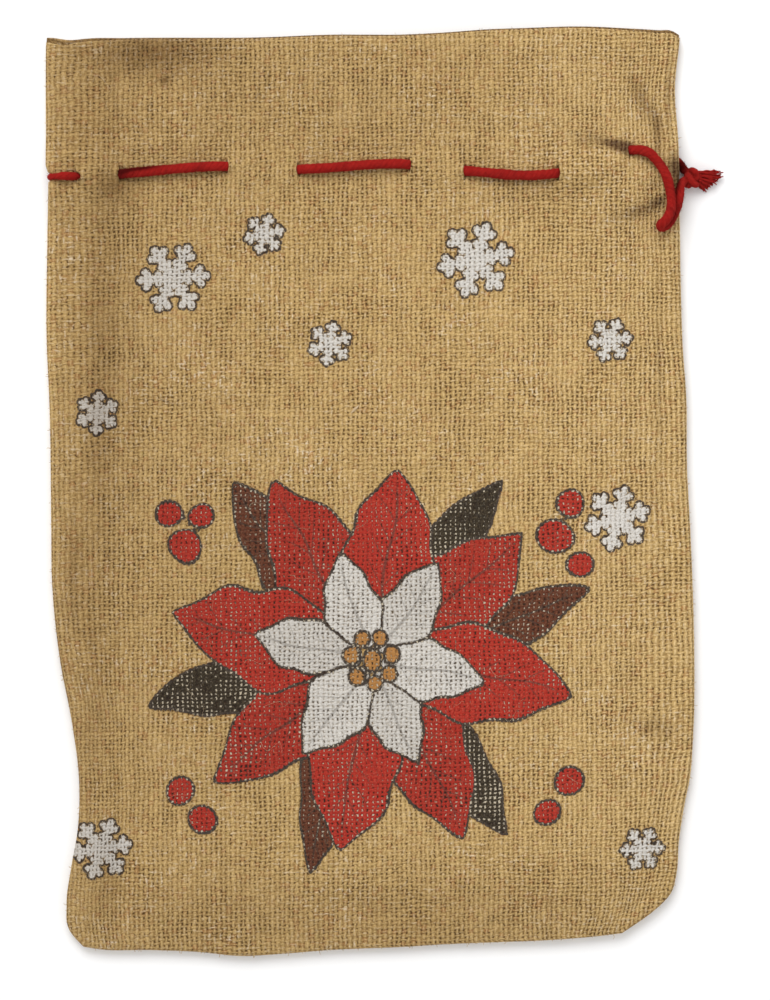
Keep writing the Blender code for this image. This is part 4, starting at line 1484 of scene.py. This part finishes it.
def weave_group():
    """What the weave is like at a place of the flat cloth, given in metres."""
    names = ("Height", "Hole", "Warp", "Tone", "Fibre", "Crown", "Cell", "Filled")
    tree, entry, out = new_group("plain_weave", [("Cloth", VECTOR)], [(name, NUMBER) for name in names])
    scale = tree.nodes.new("ShaderNodeVectorMath")
    scale.operation = "SCALE"
    scale.inputs["Scale"].default_value = 1 / MM
    tree.links.new(entry.outputs["Cloth"], scale.inputs[0])
    place = scale.outputs[0]
    x, y, _ = parts_of(tree, place)
    drift_x, drift_y, patchy = parts_of(tree, noise(tree, place, 0.045, 1.0, "Color"))
    jog_x, jog_y, _ = parts_of(tree, noise(tree, place, 0.3, 1.0, "Color"))
    u = (x + (drift_x - 0.5) * WANDER + (jog_x - 0.5) * JOG) / WARP_PITCH
    v = (y + (drift_y - 0.5) * WANDER + (jog_y - 0.5) * JOG) / WEFT_PITCH
    i, j = u.math("ROUND"), v.math("ROUND")
    du, dv = u - i, v - j

    warp_slub = noise(tree, vector_of(tree, i * 3.71, v * 0.13, 0.0), 1.0, 1.0)
    weft_slub = noise(tree, vector_of(tree, u * 0.12, j * 4.33, 7.0), 1.0, 1.0)
    openness = (patchy - 0.5) * 0.22 - x.step(*DENSE_FROM) * DENSER
    warp_half = (warp_slub - 0.5) * SLUB + WARP_HALF - openness
    weft_half = (weft_slub - 0.5) * SLUB + WEFT_HALF - openness
    warp_turn, weft_turn = (v + i) * 0.5, (u + j + 1.0) * 0.5
    warp_askew, weft_askew = askew(warp_turn, WARP_SLANT), askew(weft_turn, WEFT_SLANT)
    warp = yarn(du - warp_askew, warp_half, warp_turn)
    warp = warp + (noise(tree, place, 0.022, 2.0) - 0.34) * LEAN
    weft = yarn(dv - weft_askew, weft_half, weft_turn)
    fringe = (noise(tree, place, 1.3, 2.0) - 0.5) * FRINGE
    filled = random_of(tree, u.math("FLOOR"), v.math("FLOOR"), 9.0)
    top = warp.math("SMOOTH_MAX", weft, 0.08) + fringe
    top = (top + (filled - 0.55) * FILLING * top.step(0.3, -0.2)).math("MAXIMUM", -0.55)
    on_warp = (warp - weft + fringe).step(-0.08, 0.08)

    warp_tone = yarn_tone(warp_slub, random_of(tree, i, 3.0, 0.0))
    weft_tone = yarn_tone(weft_slub, random_of(tree, 11.0, j, 5.0))
    fleck = noise(tree, vector_of(tree, u * 0.55, v * 0.55, 3.0), 1.0, 2.0)
    cell = random_of(tree, i, j, 0.0)
    tone = between(weft_tone, warp_tone, on_warp) + (fleck - 0.5) * 0.9 + (cell - 0.5) * 0.5
    fibre = between(yarn_fibre(tree, dv, u, j), yarn_fibre(tree, du, v, i), on_warp)
    hole = top.step(0.02, -0.3)
    crown = between(lit(dv, weft_askew), lit(du, warp_askew) * 0.8, on_warp) * top.step(0.5, 0.8)
    terms = (top, hole, on_warp, tone, fibre, crown, cell, filled)
    link_outputs(tree, out, dict(zip(names, terms)))
    return tree


WEAVE = weave_group()
print("weave group:", len(WEAVE.nodes), "nodes")

# %% [markdown]
# ## Printed shapes
#
# One group turns a layer's three numbers into two masks: the fill and the dark line, which is the
# outline with a rib and slanting veins inside. Ink doesn't stay on a sharp line on coarse cloth: it
# reaches further on the crowns of the yarns than between them.

# %% Groups of the print
OUTLINE = 0.8  # half the width of an outline, in millimetres
RIB = 0.5
VEIN_GAP = 9.0
INK_LEVEL = 0.35  # the height of the weave at which ink stops on its line
INK_REACH = 0.9  # millimetres by which it reaches further where the weave is one higher
SOFT = 0.3  # half the width of the edge of a fill, in millimetres
MASKS = [("Fill", NUMBER), ("Line", NUMBER)]
ARMS = (  # a snowflake's arm and its barbs: start, turn in degrees, length and half width, in radii
    (0.0, 0, 0.9, 0.095), (0.62, 56, 0.24, 0.085), (0.34, 60, 0.13, 0.085),
)
HUB = 0.3
FLAKE_LINE = 0.6  # half the width of its outline, which lies outside its fill, in millimetres
FLAKE_NEAR = (6.0, 9.0)  # it fades in between these values of the kept radius


def as_ink(distance, height):
    """The distance to an outline, less on the crowns of the yarns, where ink reaches further."""
    return distance - (height - INK_LEVEL) * INK_REACH


def shape_group():
    """Fill, outline, rib and slanting veins of one layer of shapes."""
    inputs = [("Place", VECTOR), ("Height", NUMBER), ("Veins", NUMBER)]
    tree, entry, out = new_group("printed_shape", inputs, MASKS)
    distance, rib, t = parts_of(tree, entry.outputs["Place"])
    ragged = as_ink(distance, Term(tree, entry.outputs["Height"]))
    fill = ragged.step(SOFT, -SOFT)
    outline = (ragged.size() - OUTLINE).step(0.35, -0.35)
    inner = distance.step(-1.0, -2.5) * t.step(0.98, 0.8) * Term(tree, entry.outputs["Veins"])
    middle = (rib.size() - RIB - (1.0 - t) * 0.5).step(SOFT, -SOFT)
    slanted = ((t * 70.0 - rib.size() * 0.9) / VEIN_GAP).math("FRACT") - 0.5
    side_veins = (slanted.size() * VEIN_GAP - 0.4).step(0.35, -0.2) * rib.size().step(16.0, 6.0)
    veins = middle.math("MAXIMUM", side_veins * 0.75) * inner
    link_outputs(tree, out, {"Fill": fill, "Line": outline.math("MAXIMUM", veins)})
    return tree


def segment(x, y, start, angle, length):
    """The distance from a point to a segment: the point less its nearest place on the segment."""
    c, s = math.cos(math.radians(angle)), math.sin(math.radians(angle))
    dx, dy = x - start, y
    along = (dx * c + dy * s).math("MAXIMUM", 0.0).math("MINIMUM", length)
    off_x, off_y = dx - along * c, dy - along * s
    return (off_x * off_x + off_y * off_y).math("SQRT")


def snowflake_group():
    """Six arms with two pairs of barbs and a hub. The plane is folded into one half of one arm."""
    tree, entry, out = new_group("snowflake", [("Place", VECTOR), ("Height", NUMBER)], MASKS)
    x, y, radius = parts_of(tree, entry.outputs["Place"])
    reach = (x * x + y * y).math("SQRT")
    turn = y.math("ARCTAN2", x) / (math.tau / 6)
    folded = (turn - turn.math("ROUND")) * (math.tau / 6)
    x, y = reach * folded.math("COSINE"), (reach * folded.math("SINE")).size()
    shape = reach - HUB
    for start, angle, length, half in ARMS:
        shape = shape.math("MINIMUM", segment(x, y, start, angle, length) - half)
    distance = as_ink(shape * radius, Term(tree, entry.outputs["Height"]))
    near = radius.step(*FLAKE_NEAR)
    line = ((distance - FLAKE_LINE).size() - FLAKE_LINE).step(SOFT, -SOFT) * near
    link_outputs(tree, out, {"Fill": distance.step(SOFT, -SOFT) * near, "Line": line})
    return tree


def masks(tree, group, label, height):
    """A print group's node for the layer that an attribute holds, and its fill and its line."""
    node = place_group(tree, group)
    tree.links.new(attribute(tree, label)[0], node.inputs["Place"])
    tree.links.new(height.socket, node.inputs["Height"])
    return node, Term(tree, node.outputs["Fill"]), Term(tree, node.outputs["Line"])


SHAPE, SNOWFLAKE = shape_group(), snowflake_group()
print("print groups:", len(SHAPE.nodes), "and", len(SNOWFLAKE.nodes), "nodes")

# %% [markdown]
# ## Burlap
#
# The cloth's colour comes from its yarns: a pale straw or a darker tan for each yarn, hanks of
# greener and redder fibre over the sack, and whitish worn crowns here and there. Light is painted in
# too: the holes are dark with painted shade, painted shade lies between the yarns, and painted
# highlights lie on the crowns, stronger towards the right. The print lies on the crowns. In dark ink
# the bare fibres between the yarns show as pale specks, and in white ink as dark ones.

# %% Burlap
STRAW = (0.585, 0.39, 0.152)
TAN = (0.35, 0.215, 0.071)
RUSSET = (0.42, 0.20, 0.068)
OLIVE = (0.33, 0.245, 0.063)
# painted highlight on the crowns of the yarns
CROWN = (0.76, 0.55, 0.27)
GRAIN = (0.5, 0.42, 0.3)
# painted shade in the holes between the yarns
HOLE = (0.12, 0.062, 0.017)
WORN = (0.74, 0.61, 0.44)
INKS = {
    "leaf_brown": (0.10, 0.019, 0.008),
    "leaf_black": (0.010, 0.0075, 0.0055),
    "red_low": (0.36, 0.009, 0.006),
    "red_high": (0.40, 0.010, 0.007),
    "white_low": (0.61, 0.585, 0.545),
    "white_high": (0.66, 0.635, 0.595),
    "berries": (0.39, 0.010, 0.007),
    "beads": (0.42, 0.19, 0.05),
}
VEINED = {  # how dark a layer's veins are, where it has any
    "leaf_brown": 0.8, "red_low": 0.6, "red_high": 0.6, "white_low": 0.35, "white_high": 0.35,
}
LINE_INK = (0.030, 0.024, 0.024)
PALE_GAP = (0.72, 0.62, 0.46)
GREY_GAP = (0.09, 0.07, 0.055)
DARK_GAP = (0.03, 0.014, 0.008)
# the colour of the painted shade by the slack loop and where the cord goes in
LOOP_SHADE_COLOUR = (0.05, 0.016, 0.004)
# the tint of the real stains and of the painted shade
DARKER = (0.24, 0.17, 0.1)
# painted shade between the yarns, where the weave is low
CAVITY = (0.34, 0.26, 0.16)


def burlap(name, printed):
    """Burlap for one panel, with the print on the face."""
    material, tree, shader = new_material(name, {"Roughness": 0.88, "Specular IOR Level": 0.25})
    cloth = cloth_uv(tree)
    weave = place_group(tree, WEAVE)
    tree.links.new(cloth, weave.inputs["Cloth"])
    terms = [Term(tree, socket) for socket in weave.outputs]
    height, hole, warp, tone, fibre, crown, cell, filled = terms

    # Yarns, hanks and fibres.
    broad = noise(tree, cloth, 24.0, 3.0)
    tuft = noise(tree, cloth, 260.0, 1.0)
    colour = blend(tree, (tone * 0.55 + warp * 0.1 + 0.46).step(0.0, 1.0), TAN, STRAW)
    colour = blend(tree, (broad - 0.5) * 1.6 + (tuft - 0.62) * 2.4, colour, RUSSET)
    colour = blend(tree, (0.36 - tuft) * 3.0, colour, OLIVE)
    colour = blend(tree, (fibre - 0.5) * 0.9, colour, STRAW)
    colour = blend(tree, (0.16 - cell) * 3.5, colour, RUSSET)
    # Worn streaks, and painted highlights on the crowns of the yarns, stronger towards the right.
    across, along, _ = parts_of(tree, cloth)
    streak = noise(tree, vector_of(tree, across * 190.0, along * 640.0, 0.0), 1.0, 1.0)
    other = noise(tree, vector_of(tree, across * 640.0, along * 190.0, 5.0), 1.0, 1.0)
    worn = noise(tree, cloth, 26.0, 2.0).step(0.42, 0.68) * 0.75 + 0.3
    wear = streak.math("MAXIMUM", other).step(0.56, 0.76) * worn
    colour = blend(tree, wear * height.step(0.2, 0.7), colour, WORN)
    colour = blend(tree, crown * (across.step(0.02, 0.17) * 0.4 + 0.5), colour, CROWN)
    grain = noise(tree, cloth, 1000.0, 2.0)
    gap = HOLE
    shine = (0.45 - grain) * 1.6
    # The print: each layer over the last, then the snowflakes, then the bare gaps between the yarns.
    if printed:
        print_colour, inked = None, None
        for label, ink in INKS.items():
            shape, fill, line = masks(tree, SHAPE, label, height)
            shape.inputs["Veins"].default_value = VEINED.get(label, 0.0)
            print_colour = blend(tree, fill, print_colour or ink, ink)
            print_colour = blend(tree, line, print_colour, LINE_INK)
            both = fill.math("MAXIMUM", line)
            inked = both if inked is None else inked.math("MAXIMUM", both)
        _, fill, line = masks(tree, SNOWFLAKE, "flake", height)
        print_colour = blend(tree, fill, print_colour, INKS["white_high"])
        print_colour = blend(tree, line, print_colour, LINE_INK)
        inked = inked.math("MAXIMUM", fill).math("MAXIMUM", line)
        patchy = noise(tree, cloth, 420.0, 2.0)
        cover = inked * (height + (patchy - 0.5) * 0.9).step(-0.4, 0.1)
        red, green, _ = parts_of(tree, print_colour)
        pale, black = green.step(0.2, 0.4), red.step(0.08, 0.035)
        colour = blend(tree, cover * 0.96, colour, print_colour)
        colour = blend(tree, (fibre - 0.5) * 0.3 * cover, colour, WORN)
        bare = (noise(tree, cloth, 38.0, 1.0) + filled * 0.5 + black * 0.15).step(0.68, 0.88)
        speck = blend(tree, bare, DARK_GAP, PALE_GAP)
        speck = blend(tree, pale, speck, GREY_GAP)
        gap = blend(tree, inked, HOLE, speck)
        shine = shine * (1.0 - inked * 0.6)
        low = (height - black * 0.12).step(0.28, -0.1) * 0.85
        hole = hole.math("MAXIMUM", inked * (1.0 - pale) * low)
    # Grain, painted shade between the yarns and in the holes, and the ovals of real stains and painted
    # shade.
    colour = blend(tree, (grain - 0.5) * 2.4, colour, GRAIN, "MULTIPLY")
    colour = blend(tree, shine, colour, CROWN)
    colour = blend(tree, height.step(0.62, -0.25) * 0.82, colour, CAVITY, "MULTIPLY")
    colour = blend(tree, hole, colour, gap)
    # real stains, and painted shade in folds, along the seams and over broad parts of the face
    _, spots_and_shade = attribute(tree, "spots_and_shade")
    colour = blend(tree, spots_and_shade, colour, DARKER, "MULTIPLY")
    if printed:
        # painted shade by the slack loop, where the cord goes in, and by the knot
        _, loop_shade = attribute(tree, "loop_shade")
        colour = blend(tree, loop_shade * (height.step(0.9, -0.2) * 0.3 + 0.8), colour, LOOP_SHADE_COLOUR)
    tree.links.new(colour, shader.inputs["Base Color"])
    add_bump(tree, shader, height + (fibre - 0.5) * 0.22, 0.85, MM)
    return material


BURLAP_FACE = burlap("burlap_face", True)
BURLAP_BACK = burlap("burlap_back", False)
face.data.materials.append(BURLAP_FACE)
back.data.materials.append(BURLAP_BACK)
print("burlap:", len(BURLAP_FACE.node_tree.nodes), "nodes")

# %% [markdown]
# ## Wool
#
# The cord is felted red wool. Its grooves are painted almost black red, a painted shade, because
# light is lost between the plies, and painted shade darkens it where it lies in shadow. Its fibres run
# along the plies, so the fine noise is stretched along the tube's own UV map. A sheen stands for the
# halo of hair on wool.

# %% Wool
WOOL = (0.265, 0.0095, 0.0075)
WOOL_DEEP = (0.06, 0.003, 0.004)
WOOL_PALE = (0.44, 0.035, 0.026)
WOOL_SHADE = (0.2, 0.14, 0.16)
WOOL_SURFACE = {
    "Roughness": 0.95,
    "Specular IOR Level": 0.05,
    "Sheen Weight": 0.05,
    "Sheen Roughness": 0.6,
    "Sheen Tint": (1.0, 0.2, 0.15, 1),
}


def wool():
    """Felted red wool, with painted shade in its grooves and where it lies in shadow."""
    material, tree, shader = new_material("wool", WOOL_SURFACE)
    across, along, _ = parts_of(tree, cloth_uv(tree))
    fibre = noise(tree, vector_of(tree, across * 900.0, along * 300.0 + across * 350.0, 0.0), 1.0, 3.0)
    mottle = noise(tree, vector_of(tree, across * 60.0, along * 60.0, 0.0), 1.0, 2.0)
    _, groove = attribute(tree, "groove")
    colour = blend(tree, (fibre - 0.42) * 1.1, WOOL, WOOL_PALE)
    _, shade = attribute(tree, "shade")
    colour = blend(tree, groove.step(0.35, 1.0) * 0.2, colour, WOOL_DEEP)
    colour = blend(tree, (mottle - 0.5) * 1.6, colour, WOOL_DEEP)
    colour = blend(tree, shade, colour, WOOL_SHADE, "MULTIPLY")
    tree.links.new(colour, shader.inputs["Base Color"])
    add_bump(tree, shader, fibre, 0.6, 0.5 * MM)
    return material


def jute_hair():
    """Pale, slightly shiny fibre, of a tone that changes over a few millimetres."""
    material, tree, shader = new_material("jute_hair", {"Roughness": 0.6})
    place = tree.nodes.new("ShaderNodeTexCoord").outputs["Object"]
    tree.links.new(blend(tree, noise(tree, place, 150.0), TAN, WORN), shader.inputs["Base Color"])
    return material


WOOL_MATERIAL = wool()
for piece in (cord, knot, tail, fuzz):
    piece.data.materials.append(WOOL_MATERIAL)
HAIR_MATERIAL = jute_hair()
for piece in (fibres, rim_fibres, slub):
    piece.data.materials.append(HAIR_MATERIAL)
print("wool:", len(WOOL_MATERIAL.node_tree.nodes), "nodes")

# %% [markdown]
# ## Light and floor
#
# The photograph has soft light from the upper left and a white ground with hardly a shadow. A large
# area lamp gives the direction, and a pale sky fills the shadows.

# %% Light and floor
FLOOR_SIZE = 6.0
FLOOR_LEVEL = -0.05 * MM
FLOOR_SURFACE = {"Base Color": (0.93, 0.93, 0.93, 1), "Roughness": 0.9}
KEY_AT = (-0.45, 1.6, 1.9)
KEY_SIZE = 1.8
KEY_POWER = 39.0
SKY = 0.82


def add_floor():
    """A plain pale floor just under the sack."""
    half = FLOOR_SIZE / 2
    corners = [[x, y, FLOOR_LEVEL] for x, y in ((-half, -half), (half, -half), (half, half), (-half, half))]
    floor = make_mesh("floor", np.array(corners), np.array([[0, 1, 2, 3]]))
    floor.data.materials.append(new_material("floor", FLOOR_SURFACE)[0])


def add_key():
    """A large round lamp that is turned to the origin."""
    data = bpy.data.lights.new("key", "AREA")
    data.shape = "DISK"
    data.size = KEY_SIZE
    data.energy = KEY_POWER
    lamp = bpy.data.objects.new("key", data)
    lamp.location = KEY_AT
    lamp.rotation_euler = Vector(KEY_AT).to_track_quat("Z", "Y").to_euler()
    bpy.context.scene.collection.objects.link(lamp)


add_floor()
add_key()
world = bpy.data.worlds.new("studio")
world.use_nodes = True
sky = world.node_tree.nodes["Background"]
sky.inputs["Color"].default_value = (1, 1, 1, 1)
sky.inputs["Strength"].default_value = SKY
bpy.context.scene.world = world
bpy.context.scene.view_settings.view_transform = "Standard"
print("key light:", KEY_POWER, "W")

# %% [markdown]
# ## Pieces and what they stand for
#
# Every piece rides on the one body of the model and takes the place of its solid.

for piece, node, slot in (
    (face, "front_panel", "burlap_front"),
    (back, "back_panel", "burlap_back"),
    (cord, "drawstring", "wool"),
    (knot, "knot", "wool"),
    (tail, "tail", "wool"),
):
    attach(piece, "root")
    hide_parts(node)
for piece in (fuzz, fibres, rim_fibres, slub):
    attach(piece, "root")
print("pieces:", ", ".join(piece.name for piece in (face, back, cord, knot, tail)))
